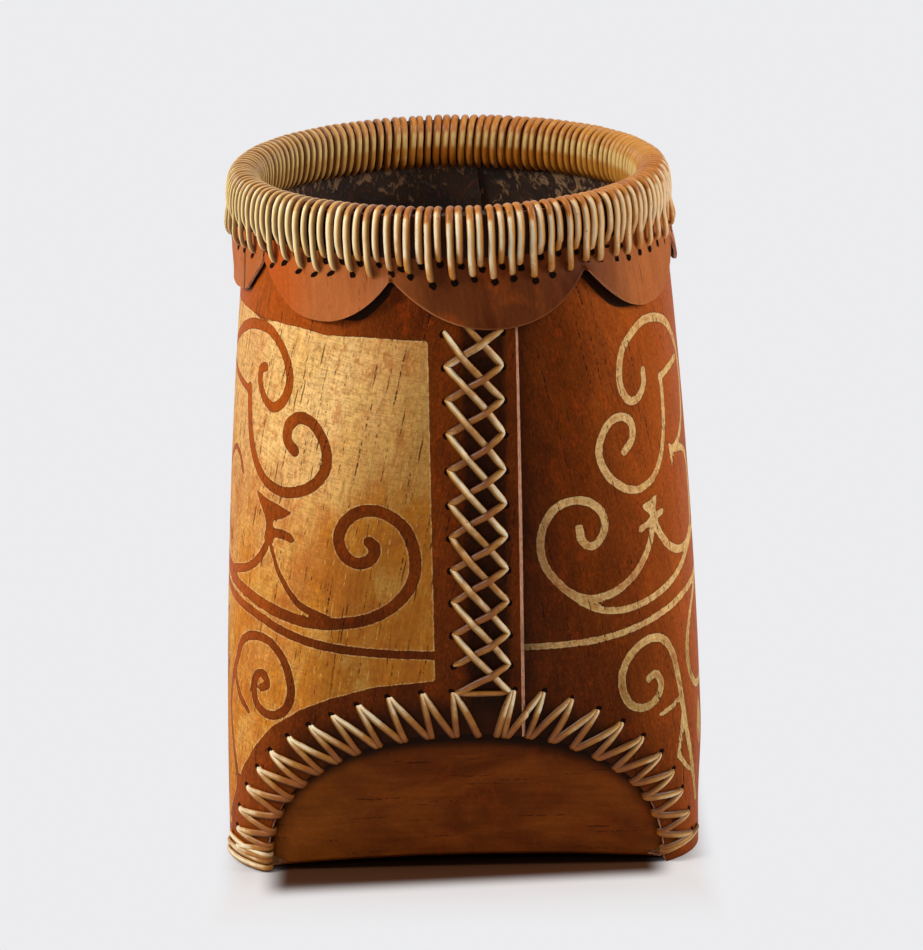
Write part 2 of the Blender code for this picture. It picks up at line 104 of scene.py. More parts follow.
def on_skin(arc, z, out=0.0):
    arc, z, out = np.broadcast_arrays(np.asarray(arc, float), np.asarray(z, float), np.asarray(out, float))
    side = np.floor(arc / quarter(z) + 0.5)
    along = arc - side * quarter(z)
    radius = corner_radius(z)
    flat = half_width(z) - radius
    turn = np.clip(np.abs(along) - flat, 0.0, None) / radius
    corner = (np.mod(arc / quarter(z) + 0.5, 2.0) - 1.0) / DRAWN_SHARE
    out = out - FOOT_DRAWN * smooth((DRAWN_BELOW - z) / DRAWN_RUN) * np.exp(-(corner**2))
    across = np.where(turn > 0, flat + (radius + out) * np.sin(turn), np.abs(along)) * np.sign(along)
    depth = flat + (radius + out) * np.cos(turn)
    angle = side * math.pi / 2.0
    x = across * np.cos(angle) + depth * np.sin(angle)
    y = across * np.sin(angle) - depth * np.cos(angle)
    return np.stack([x, y, z + 0.0 * x], axis=-1)


def arc_of(x, z):
    """The arc of a place on the front, from its distance across."""
    radius = corner_radius(z)
    flat = half_width(z) - radius
    past = np.clip(np.abs(x) - flat, 0.0, radius)
    return np.sign(x) * (np.minimum(np.abs(x), flat) + radius * np.arcsin(past / radius))


print("a corner of the foot lies at", on_skin(88.0, 0.0).round(1))

# %% [markdown]
# ## Helpers for meshes
#
# A sheet of bark is a grid of points with a second grid behind it, joined round the border. The border gets
# its own material slot, because a raw cut edge is paler than the face. Facts about the surface, such as how
# far a point is from a scraped line, travel with the mesh as attributes, and the shader reads them.

# %% Lines of points


def length_along(points):
    return np.concatenate([[0.0], np.cumsum(np.linalg.norm(np.diff(points, axis=0), axis=1))])


def even_run(points, count):
    """The same line with its points at even steps."""
    length = length_along(points)
    wanted = np.linspace(0.0, length[-1], count)
    return np.stack([np.interp(wanted, length, points[:, axis]) for axis in range(points.shape[1])], axis=1)


def smooth_curve(points, step):
    """An even run of points along a centripetal curve through the given ones."""
    points = np.asarray(points, float)
    ends = np.concatenate([[2 * points[0] - points[1]], points, [2 * points[-1] - points[-2]]])
    run = []
    for four in zip(ends, ends[1:], ends[2:], ends[3:]):
        knots = np.cumsum([0.0] + [math.sqrt(np.linalg.norm(b - a)) + 1e-9 for a, b in zip(four, four[1:])])
        t = np.linspace(knots[1], knots[2], 24, endpoint=False)[:, None]

        def mix(low, high, first, second):
            apart = knots[high] - knots[low]
            return (knots[high] - t) / apart * first + (t - knots[low]) / apart * second

        one, two, three = (mix(spot, spot + 1, four[spot], four[spot + 1]) for spot in range(3))
        run.append(mix(1, 2, mix(0, 2, one, two), mix(1, 3, two, three)))
    run = np.concatenate(run + [points[-1:]])
    return even_run(run, max(4, int(length_along(run)[-1] / step)))


def unit(rows):
    return rows / np.linalg.norm(rows, axis=-1, keepdims=True)


def search_tree(line):
    tree = kdtree.KDTree(len(line))
    for index, (x, z) in enumerate(line):
        tree.insert((x, z, 0.0), index)
    tree.balance()
    return tree


def nearest(line, places):
    tree = search_tree(line)
    return np.array([tree.find((x, z, 0.0))[2] for x, z in places])


print("line helpers ready")

# %% Meshes from grids
HALF_TURN = Matrix.Rotation(math.pi, 4, "Z")


def show(name, data):
    made = bpy.data.objects.new(name, data)
    bpy.context.scene.collection.objects.link(made)
    return made


def add_piece(name, points, faces, slots, slot_of=None, facts=None, sharp=40.0):
    mesh = bpy.data.meshes.new(name)
    mesh.from_pydata((np.asarray(points) * MM).tolist(), [], [tuple(map(int, face)) for face in faces])
    for slot in slots:
        mesh.materials.append(slot)
    if slot_of is not None:
        mesh.polygons.foreach_set("material_index", np.asarray(slot_of, dtype=np.int32))
    for fact, values in (facts or {}).items():
        values = np.asarray(values, dtype=np.float32)
        kind, key = ("FLOAT", "value") if values.ndim == 1 else ("FLOAT_VECTOR", "vector")
        mesh.attributes.new(fact, kind, "POINT").data.foreach_set(key, values.ravel())
    mesh.shade_smooth()
    mesh.set_sharp_from_angle(angle=math.radians(sharp))
    return show(name, mesh)


def half_turned(source, name):
    mesh = source.data.copy()
    mesh.transform(HALF_TURN)
    return show(name, mesh)


def lean_rim(piece):
    """Moves the rim part of a piece to the left, as the rim of the real basket has sagged."""
    spots = np.empty(3 * len(piece.data.vertices))
    piece.data.vertices.foreach_get("co", spots)
    spots = spots.reshape(-1, 3)
    spots[:, 0] -= RIM_LEFT * MM * smooth((spots[:, 2] / MM - RIM_LEAN_FROM) / RIM_LEAN_RUN)
    piece.data.vertices.foreach_set("co", spots.ravel())
    piece.data.update()


def sheet_faces(rows, columns):
    """Faces of a closed sheet and the slot of each: 0 outer face, 1 inner face, 2 cut edge."""
    behind = rows * columns
    index = np.arange(behind).reshape(rows, columns)
    cell = np.stack([index[:-1, :-1], index[1:, :-1], index[1:, 1:], index[:-1, 1:]], axis=-1).reshape(-1, 4)
    border = np.concatenate([index[0, :], index[1:, -1], index[-1, -2::-1], index[-2:0:-1, 0]])
    after = np.roll(border, -1)
    rim = np.stack([border, after, after + behind, border + behind], axis=-1)
    faces = np.concatenate([cell, cell[:, ::-1] + behind, rim])
    slot_of = np.repeat([0, 1, 2], [len(cell), len(cell), len(rim)])
    return faces, slot_of


def add_sheet(name, outer, inner, face, facts, grain_apart, **behind):
    """A closed sheet from two grids. Its inner face has the outer one's facts, but its grain is taken from
    further along the bark, and what is given as behind is its own."""
    behind["bark_place"] = facts["bark_place"] + grain_apart
    faces, slot_of = sheet_faces(*outer.shape[:2])
    points = np.concatenate([outer.reshape(-1, 3), inner.reshape(-1, 3)])
    facts = {fact: np.concatenate([values, behind.get(fact, values)]) for fact, values in facts.items()}
    return add_piece(name, points, faces, [face, BARK_INSIDE, RAW_EDGE], slot_of, facts)


def settle(piece, node=None):
    """Rides a piece on the basket's one body, and hides the plain node it stands in for."""
    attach(piece, "root")
    if node:
        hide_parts(node)


print("mesh helpers ready")

# %% [markdown]
# ## Helpers for shader nodes
#
# A material is a small network. These helpers add one node at a time and wire it in the same line, so that
# each effect below reads from top to bottom like a recipe. A node's output is held as a wire, and wires can
# be added, subtracted and multiplied like numbers, each time with a math node.

# %% Short words for nodes


def tone(red, green, blue):
    """A colour as it looks on a screen, turned to the linear values that shaders use."""
    def linear(value):
        value /= 255.0
        return value / 12.92 if value <= 0.04045 else ((value + 0.055) / 1.055) ** 2.4
    return (linear(red), linear(green), linear(blue), 1.0)


class Wire:
    """An output of a node that can be used like a number."""

    def __init__(self, tree, socket):
        self.tree, self.socket = tree, socket

    def __add__(self, other):
        return calc("ADD", self, other)

    def __sub__(self, other):
        return calc("SUBTRACT", self, other)

    def __mul__(self, other):
        return calc("MULTIPLY", self, other)


class Outputs:
    """The outputs of a node as wires, by name or number."""

    def __init__(self, tree, node):
        self.tree, self.node = tree, node

    def __getitem__(self, key):
        return Wire(self.tree, self.node.outputs[key])


def feed(target, value):
    """Links a wire to an input, or sets the input to a plain value."""
    if isinstance(value, Wire):
        value.tree.links.new(value.socket, target)
    else:
        target.default_value = value


def tree_of(*values):
    return next(value.tree for value in values if isinstance(value, Wire))


def put(tree, kind, settings=None, **inputs):
    """Adds a node. Inputs are given by name, or by number as i0, i1 and so on."""
    made = tree.nodes.new(kind)
    for key, value in (settings or {}).items():
        setattr(made, key, value)
    for key, value in inputs.items():
        numbered = key[0] == "i" and key[1:].isdigit()
        feed(made.inputs[int(key[1:]) if numbered else key.replace("_", " ")], value)
    return Outputs(tree, made)


def calc(operation, *values, clamp=False):
    inputs = {f"i{index}": value for index, value in enumerate(values)}
    return put(tree_of(*values), "ShaderNodeMath", {"operation": operation, "use_clamp": clamp}, **inputs)[0]


def vector_calc(operation, *values, **inputs):
    inputs.update({f"i{index}": value for index, value in enumerate(values)})
    return put(tree_of(*values), "ShaderNodeVectorMath", {"operation": operation}, **inputs)[0]


def ramp(value, low, high, start=0.0, stop=1.0):
    """A smooth step from low to high."""
    kind = {"interpolation_type": "SMOOTHSTEP"}
    return put(value.tree, "ShaderNodeMapRange", kind, Value=value, i1=low, i2=high, i3=start, i4=stop)[0]


def blend(share, first, second, mode="MIX"):
    kind = {"data_type": "RGBA", "blend_type": mode}
    return put(tree_of(share, first, second), "ShaderNodeMix", kind, i0=share, i6=first, i7=second)[2]


def paint(colour, *steps):
    """Works on a colour in steps. A share with a screen colour covers it, and a value with its low and high
    ends and two levels darkens or lightens it."""
    for first, *rest in steps:
        if len(rest) == 1:
            colour = blend(first, colour, tone(*rest[0]))
        else:
            level = ramp(first, *rest)
            grey = put(level.tree, "ShaderNodeCombineColor", Red=level, Green=level, Blue=level)
            colour = blend(1.0, colour, grey[0], "MULTIPLY")
    return colour


def fact(tree, name, output="Fac"):
    return put(tree, "ShaderNodeAttribute", {"attribute_type": "GEOMETRY", "attribute_name": name})[output]


def object_place(tree):
    return put(tree, "ShaderNodeTexCoord")["Object"]


def split(place):
    parts = put(place.tree, "ShaderNodeSeparateXYZ", Vector=place)
    return parts[0], parts[1], parts[2]


def scaled(place, *scale):
    return put(place.tree, "ShaderNodeMapping", Vector=place, Scale=scale)[0]


def stretched(place, across, along, shift=0.0):
    """Mapped coordinates, so that a pattern is drawn out along the bark."""
    scale, start = (1.0 / across, 1.0 / along, 1.0 / across), (shift, shift * 1.7, shift * 0.6)
    return put(place.tree, "ShaderNodeMapping", Vector=place, Scale=scale, Location=start)[0]


def noise(place, detail=4.0, rough=0.55, twist=0.0, output="Fac"):
    settings = {"Scale": 1.0, "Detail": detail, "Roughness": rough, "Distortion": twist}
    return put(place.tree, "ShaderNodeTexNoise", Vector=place, **settings)[output]


def cell_net(place):
    return put(place.tree, "ShaderNodeTexVoronoi", {"voronoi_dimensions": "2D"}, Vector=place, Scale=1.0)


print("node words ready")

# %% A frame for node groups and materials


def open_group(name, **inputs):
    """A node group with named inputs: a number starts a value, and None stands for a place."""
    tree = bpy.data.node_groups.new(name, "ShaderNodeTree")
    for label, start in inputs.items():
        kind = "NodeSocketVector" if start is None else "NodeSocketFloat"
        socket = tree.interface.new_socket(name=label.replace("_", " "), in_out="INPUT", socket_type=kind)
        if start is not None:
            socket.default_value = start
    return tree, Outputs(tree, tree.nodes.new("NodeGroupInput"))


def close_group(tree, **values):
    """Gives a group one named output for each value."""
    for label in values:
        tree.interface.new_socket(name=label, in_out="OUTPUT", socket_type="NodeSocketFloat")
    leave = tree.nodes.new("NodeGroupOutput")
    for label, value in values.items():
        feed(leave.inputs[label], value)
    print("group made:", tree.name)
    return tree


def use_group(tree, group, **inputs):
    return put(tree, "ShaderNodeGroup", {"node_tree": group}, **inputs)


def new_material(name):
    made = bpy.data.materials.new(name)
    made.use_nodes = True
    return made, made.node_tree


def new_bark(name, spacing, share):
    """A material with the bark's grain in it."""
    made, tree = new_material(name)
    place = fact(tree, "bark_place", "Vector")
    return made, tree, place, use_group(tree, BARK_GRAIN, Place=place, Pore_Spacing=spacing, Pore_Share=share)


def finish_surface(made, colour, rough, height, strength, depth, **even):
    """Wires colour, roughness and a bump of a given depth in millimetres into the shader."""
    bump = put(made.node_tree, "ShaderNodeBump", Strength=strength, Distance=depth * MM, Height=height)
    even.update(Base_Color=colour, Roughness=rough, Normal=bump[0])
    for key, value in even.items():
        feed(made.node_tree.nodes["Principled BSDF"].inputs[key.replace("_", " ")], value)
    print("made", made.name)
    return made


print("group words ready")

# %% [markdown]
# ## The grain of birch bark
#
# Birch bark has breathing pores, the lenticels: short dark slits that all lie one way, with fine streaks
# between them and broad soft patches of warmer and darker bark. A cell texture stretched fifteen times
# along the sheet gives slits of one direction and random size, and stretched noise gives the streaks. Where
# the sheet was bent, longer cracks open. Each is a thin line through the middle of one cell in a wider net,
# so it keeps its place and its length when the finish is changed.

# %% The group for bark grain


def crack_rows(place, fine, wide, long, shift):
    """Broken lines along the middles of cells that are wide and long, some of them left out."""
    spot = stretched(place, wide, long, shift)
    cells = cell_net(spot)
    x, y, _ = split(vector_calc("SUBTRACT", spot, cells["Position"]))
    draw = put(place.tree, "ShaderNodeSeparateColor", Color=cells["Color"])
    ends = ramp(calc("ABSOLUTE", y) - calc("MULTIPLY_ADD", draw[1], 0.3, 0.08), 0.05, -0.1)
    jagged = calc("MULTIPLY_ADD", fine - 0.5, 1.3 / wide, x)
    breaks = noise(stretched(place, 6.0, 2.0, 3.0), 2.0, 0.5)
    line = ends * ramp(calc("ABSOLUTE", jagged), 0.32 / wide, 0.1 / wide) * ramp(breaks, 0.44, 0.54)
    return line * ramp(draw[0], 0.3, 0.5)


def make_bark_grain():
    tree, given = open_group("bark grain", Place=None, Pore_Spacing=2.6, Pore_Share=0.6)
    place, spacing = given["Place"], given["Pore Spacing"]
    wobble = noise(stretched(place, 9.0, 14.0), 3.0, 0.5, output="Color")
    bent = vector_calc("ADD", place, vector_calc("SCALE", wobble, Scale=1.6))
    pitch = put(tree, "ShaderNodeCombineXYZ", X=spacing, Y=spacing, Z=1.0)[0]
    cells = cell_net(vector_calc("DIVIDE", stretched(bent, 1.0, 15.0), pitch))
    chance = put(tree, "ShaderNodeSeparateColor", Color=cells["Color"])
    wide = ramp(chance[0], calc("SUBTRACT", 1.0, given["Pore Share"]), 1.0, 0.0, 0.34)
    pores = ramp(wide - cells["Distance"] * spacing, -0.06, 0.08)
    fine = noise(stretched(bent, 0.5, 3.2), 5.0, 0.66)
    long_cracks = crack_rows(bent, fine, 13.0, 84.0, 19.0) * 0.7
    cracks = calc("MAXIMUM", crack_rows(bent, fine, 8.0, 30.0, 7.0), long_cracks)
    leather = noise(stretched(bent, 0.9, 1.7, 5.0), 5.0, 0.72, 0.4)
    streaks = noise(stretched(bent, 1.5, 26.0, 3.0), 5.0, 0.6)
    patches = noise(stretched(bent, 15.0, 34.0, 9.0), 4.0, 0.55, 0.6)
    height = fine * 0.45 - calc("MAXIMUM", pores, cracks) * 0.9 + leather * 0.5
    return close_group(tree, Pores=pores, Cracks=cracks, Streaks=streaks, Patches=patches, Fine=fine,
                       Leather=leather, Height=height)


BARK_GRAIN = make_bark_grain()

# %% [markdown]
# ## Lines scraped by hand
#
# Winter bark is dark on its inner face, and a scraped line shows the paler layer under it. A hand-led knife
# wavers a little, and along the line's edge a fine painted highlight and a thin painted shadow stand for its
# light and shade. The mesh carries the distance to the nearest scraped line in millimetres, and this group
# turns that distance into masks.

# %% The group for hand-scraped lines


def make_scraping():
    tree, given = open_group("hand scraping", Distance=0.0, Place=None, Waver=0.5)
    waver = noise(stretched(given["Place"], 2.6, 2.6), 3.0, 0.6) - 0.5
    moved = given["Distance"] + waver * given["Waver"]
    edge_highlight = ramp(moved, -0.75, -0.2) * ramp(moved, 0.1, -0.1)
    shadow = ramp(moved, 0.6, 0.1) * ramp(moved, -0.15, 0.1)
    return close_group(tree, Scraped=ramp(moved, 0.14, -0.14), Lip=edge_highlight, Shadow=shadow)


SCRAPING = make_scraping()

# %% [markdown]
# ## The scroll ornament
#
# The double curve is a common motif on bark work: strokes that roll up into spirals, in pairs that mirror
# each other. On one half of each wall the ground is scraped pale and the strokes stay dark, and on the other
# half the strokes are scraped. Each stroke is a smooth curve through a few turning points, and the width of
# the knife's band swells and thins along it.

# %% The strokes
# Dark strokes of the scraped half: turning points as (arc, height), then the width at start, middle and end
DARK_STROKES = [
    ([(-140, 189), (-124, 197), (-110, 205), (-96, 210), (-82, 210), (-73, 203), (-70, 194), (-73, 186),
      (-79, 182), (-85, 184), (-89, 190), (-88, 195), (-85, 196)], (3.4, 4.4, 3.6)),
    ([(-128, 190.5), (-114.7, 187), (-106.5, 185.6), (-98.6, 184.4)], (2.8, 3.0, 3.0)),
    ([(-101, 152.5), (-104.5, 157.5), (-111, 159.5), (-118, 155), (-124, 147), (-126, 138), (-121, 130),
      (-112, 124)], (2.2, 2.6, 2.6)),
    ([(-97.6, 185.6), (-96.6, 176.3), (-94.6, 167.6), (-90.6, 160), (-84.6, 154.4), (-78, 151.8),
      (-69, 151.5), (-58, 156), (-52, 164), (-53, 173), (-59, 180), (-65, 180.5), (-70, 176.5),
      (-70.5, 171), (-67, 168)], (4.2, 4.2, 5.0)),
    ([(-79.8, 137), (-79.9, 132), (-82.5, 127), (-87, 121.8), (-93.5, 117.6), (-101, 115.2), (-110, 113.2),
      (-124, 118), (-142, 128)], (3.4, 3.2, 4.4)),
    ([(-79.5, 131), (-77.3, 127), (-74.9, 121.3), (-71.7, 117), (-68.1, 112.7), (-64.3, 109.3),
      (-58.5, 107), (-52, 104.5)], (1.8, 2.5, 3.4)),
    ([(-163, 124), (-140, 119), (-124, 114), (-111, 110.5), (-90, 107.5), (-76, 105), (-62, 103),
      (-46, 103.5), (-33, 106.5), (-24, 112.5), (-18.5, 121), (-18, 132), (-22, 142), (-31, 148),
      (-39, 147.5), (-45, 142.5), (-47, 136), (-44.5, 130), (-39, 127.5), (-34.5, 129.5), (-33, 133.5),
      (-35, 136)], (4.2, 4.6, 4.6)),
    ([(-163, 114), (-140, 111), (-124, 107.5), (-107, 104), (-85, 101), (-73, 98), (-59, 95), (-46, 93),
      (-29, 91), (-11, 90)], (3.4, 3.6, 3.2)),
    ([(-104, 72), (-100, 80), (-96, 88), (-88, 92.5), (-79, 92.5), (-72.5, 88), (-69, 81), (-68, 73),
      (-71, 66.5), (-78, 63.5), (-84.5, 66), (-87, 72), (-85, 78), (-81, 79), (-79.5, 75), (-83, 73)],
      (3.0, 3.8, 3.0)),
    ([(-102, 76), (-100, 71), (-96, 66), (-90, 62)], (2.0, 3.2, 2.0)),
    ([(-104, 72), (-106, 60), (-102, 46), (-97, 30), (-104, 16)], (2.4, 2.6, 2.4)),
    ([(-110, 78), (-116, 60), (-112, 40), (-108, 24)], (2.0, 2.6, 2.0)),
    ([(-161, 90), (-140, 88), (-124, 90), (-114, 96)], (3.0, 3.0, 2.0)),
    ([(-136, 84), (-150, 78), (-156, 66), (-150, 55), (-138, 53), (-130, 60), (-131, 70), (-138, 74),
      (-144, 70)], (3.0, 3.8, 3.0)),
]

# Scraped strokes of the other half
PALE_STROKES = [
    ([(80.5, 193), (80.5, 188), (76, 183.2), (70.8, 183.6), (67, 189.5), (67, 197), (69, 203), (75, 208),
      (83, 211), (93, 210), (103, 206), (112, 198), (117, 189), (118, 178), (114, 167), (106, 160),
      (97, 158)], (3.0, 3.4, 2.8)),
    ([(112, 190.3), (102, 189), (92.6, 187.3)], (2.8, 3.0, 3.0)),
    ([(93.2, 188), (93.4, 176), (91.8, 166), (87.6, 157), (82, 151.6), (73, 149.3), (65, 152), (58, 158.5),
      (55, 167), (57.5, 174), (62, 178), (67.5, 178), (71.5, 175), (71.5, 169), (67, 165)], (2.6, 3.1, 3.3)),
    ([(96.4, 160.5), (97, 156), (97.6, 152.5)], (2.2, 1.6, 1.0)),
    ([(102, 159.5), (99.5, 157), (97.6, 153)], (1.8, 1.4, 1.0)),
    ([(73.4, 134.0), (80.4, 136.2), (86.4, 137.8)], (2.6, 2.6, 2.6)),
    ([(80.4, 140), (80.4, 136), (78.6, 129.3), (74, 122.3), (67.3, 116.3), (59, 112.2), (50, 111),
      (43, 113), (36.5, 118.5), (32, 125), (30.5, 133), (32, 140.5), (36, 146.5), (42, 149.5), (49, 149),
      (54.5, 145), (56.5, 139), (54.5, 134), (50.5, 131.5), (46.8, 134), (46, 139)], (3.0, 3.3, 3.2)),
    ([(81, 136.5), (84.2, 130), (90.2, 123.4), (98, 120), (107, 120.4), (113.5, 124.5), (117, 131),
      (118, 139), (117.5, 147), (114.5, 153), (109, 156.2), (102, 157.4), (97.5, 159.4)], (3.0, 3.2, 2.2)),
    ([(163, 124), (146, 124), (130, 123), (117, 122), (106, 118), (98, 113.5), (88, 109.5), (76, 106.5),
      (64, 105), (55, 106), (47, 109.5), (41, 114.5)], (3.0, 3.0, 2.6)),
    ([(163, 114), (146, 112), (130, 108.5), (120, 106), (100, 103), (79, 99), (65, 96.5), (47, 94),
      (34, 92.5), (24, 92)], (3.0, 2.8, 2.6)),
    ([(73.5, 75.8), (77.2, 77), (79.8, 72.6), (76.8, 67), (70.6, 64.9), (65, 67.2), (61.9, 74),
      (62.4, 81.3), (67.2, 88), (75, 91.3), (82, 89.4), (87.2, 82.6), (90.2, 71.6), (91.8, 62), (94, 49),
      (98, 35), (103, 19)], (3.0, 3.4, 2.4)),
    ([(79, 60.5), (85, 62), (91, 64.5)], (2.0, 2.2, 2.0)),
    ([(92.2, 60), (89.8, 50), (87.8, 41.5)], (1.8, 2.0, 2.2)),
    ([(87.6, 41.8), (91.4, 37.6), (95.6, 33.4)], (2.2, 2.0, 1.8)),
    ([(125, 107), (115, 102.5), (107, 96.5), (101, 88.4), (98.4, 79.6), (100.3, 70.5), (106, 64.5),
      (113, 65), (118.5, 71.6), (120, 80)], (2.4, 3.2, 2.4)),
    ([(161, 90), (144, 88), (132, 84), (124, 76), (126, 64), (136, 56), (148, 56), (154, 64), (152, 73),
      (144, 77), (138, 72)], (2.8, 3.2, 2.8)),
]


def stroke_run(stroke):
    """Centre points and half widths along one stroke."""
    points, (start, middle, stop) = stroke
    run = smooth_curve(points, 0.6)
    share = np.linspace(0.0, 1.0, len(run))
    wide = start * (1 - share) ** 2 + middle * 2 * share * (1 - share) + stop * share**2
    wide += (middle - 0.5 * (start + stop)) * share * (1 - share)
    return run, wide / 2


def inside_shape(outline, places):
    """Signed distance to a closed outline, negative inside it."""
    outline = np.asarray(outline, float)
    after = np.roll(outline, -1, axis=0)
    best = np.full(len(places), 1e9)
    crossings = np.zeros(len(places), int)
    for first, second in zip(outline, after):
        run = second - first
        share = np.clip(((places - first) @ run) / (run @ run), 0.0, 1.0)
        best = np.minimum(best, np.linalg.norm(places - first - share[:, None] * run, axis=1))
        spans = (first[1] > places[:, 1]) != (second[1] > places[:, 1])
        with np.errstate(divide="ignore", invalid="ignore"):
            reach = first[0] + (places[:, 1] - first[1]) / (second[1] - first[1]) * run[0]
        crossings += spans & (places[:, 0] < reach)
    return np.where(crossings % 2 == 1, -best, best)


def spread_from(strokes, shapes, places):
    """Signed distance of places to the strokes' bands and to closed shapes, negative inside them."""
    runs, halves = map(np.concatenate, zip(*(stroke_run(stroke) for stroke in strokes)))
    tree = search_tree(runs)
    found = np.full(len(places), 9.0)
    for index, (x, z) in enumerate(places):
        for _, near, apart in tree.find_n((x, z, 0.0), 3):
            found[index] = min(found[index], apart - halves[near])
    for shape in shapes:
        found = np.minimum(found, inside_shape(shape, places))
    return found


print("strokes:", len(DARK_STROKES), "dark and", len(PALE_STROKES), "scraped")

# %% The leaf on its stem, the diamond at the corner and the scraped panel
DARK_SHAPES = [
    [(-89, 149), (-82.4, 147), (-75, 145.8), (-67.5, 144), (-72.7, 140.8), (-77.7, 139.2), (-77.6, 136.5),
     (-72.6, 136.8), (-68.4, 136), (-65.5, 133.8), (-67.8, 132.4), (-72, 133.2), (-77.2, 133),
     (-77.4, 130.7), (-79.8, 129.4), (-81.8, 128.4), (-82.7, 131.5), (-82.1, 134), (-81.6, 137.2),
     (-82.8, 140.5), (-86, 144.3)],
]
PALE_SHAPES = [
    [(73.8, 142.6), (79, 143.6), (84, 145.4), (82.8, 141), (81.6, 137.6), (80.6, 135), (79.2, 137.8),
     (76.6, 140.4)],
    [(108, 60), (111, 50), (107, 38), (103, 46)],
]
PANEL = [(-11, 214), (-35, 214.5), (-52, 213.5), (-64, 214.5), (-90, 214), (-112, 214), (-150, 213),
         (-170, 160), (-180, 110), (-190, 12), (-104, 12), (-99, 27), (-93, 39), (-85, 50), (-77, 59),
         (-64, 67.8), (-52, 73), (-35, 77.5), (-11, 79.5)]


def ornament(arc, z):
    """Signed distance to what is scraped, for places of a wall that lies over the front seam."""
    turn = quarter(z)
    half = arc < -turn
    places = np.stack([arc, z], axis=1)
    mine = ~half & (arc < 0)
    spot = places[mine]
    panel = np.maximum(inside_shape(PANEL, spot), 2.0 - turn[mine] - spot[:, 0])
    found = np.full(len(arc), 9.0)
    found[mine] = np.maximum(panel, -spread_from(DARK_STROKES, DARK_SHAPES, spot))
    spot = places[half] + np.stack([2.0 * turn[half], np.zeros(half.sum())], axis=1)
    found[half] = spread_from(PALE_STROKES, PALE_SHAPES, spot)
    return np.clip(found, -MASK_REACH, MASK_REACH)


print("ornament ready")
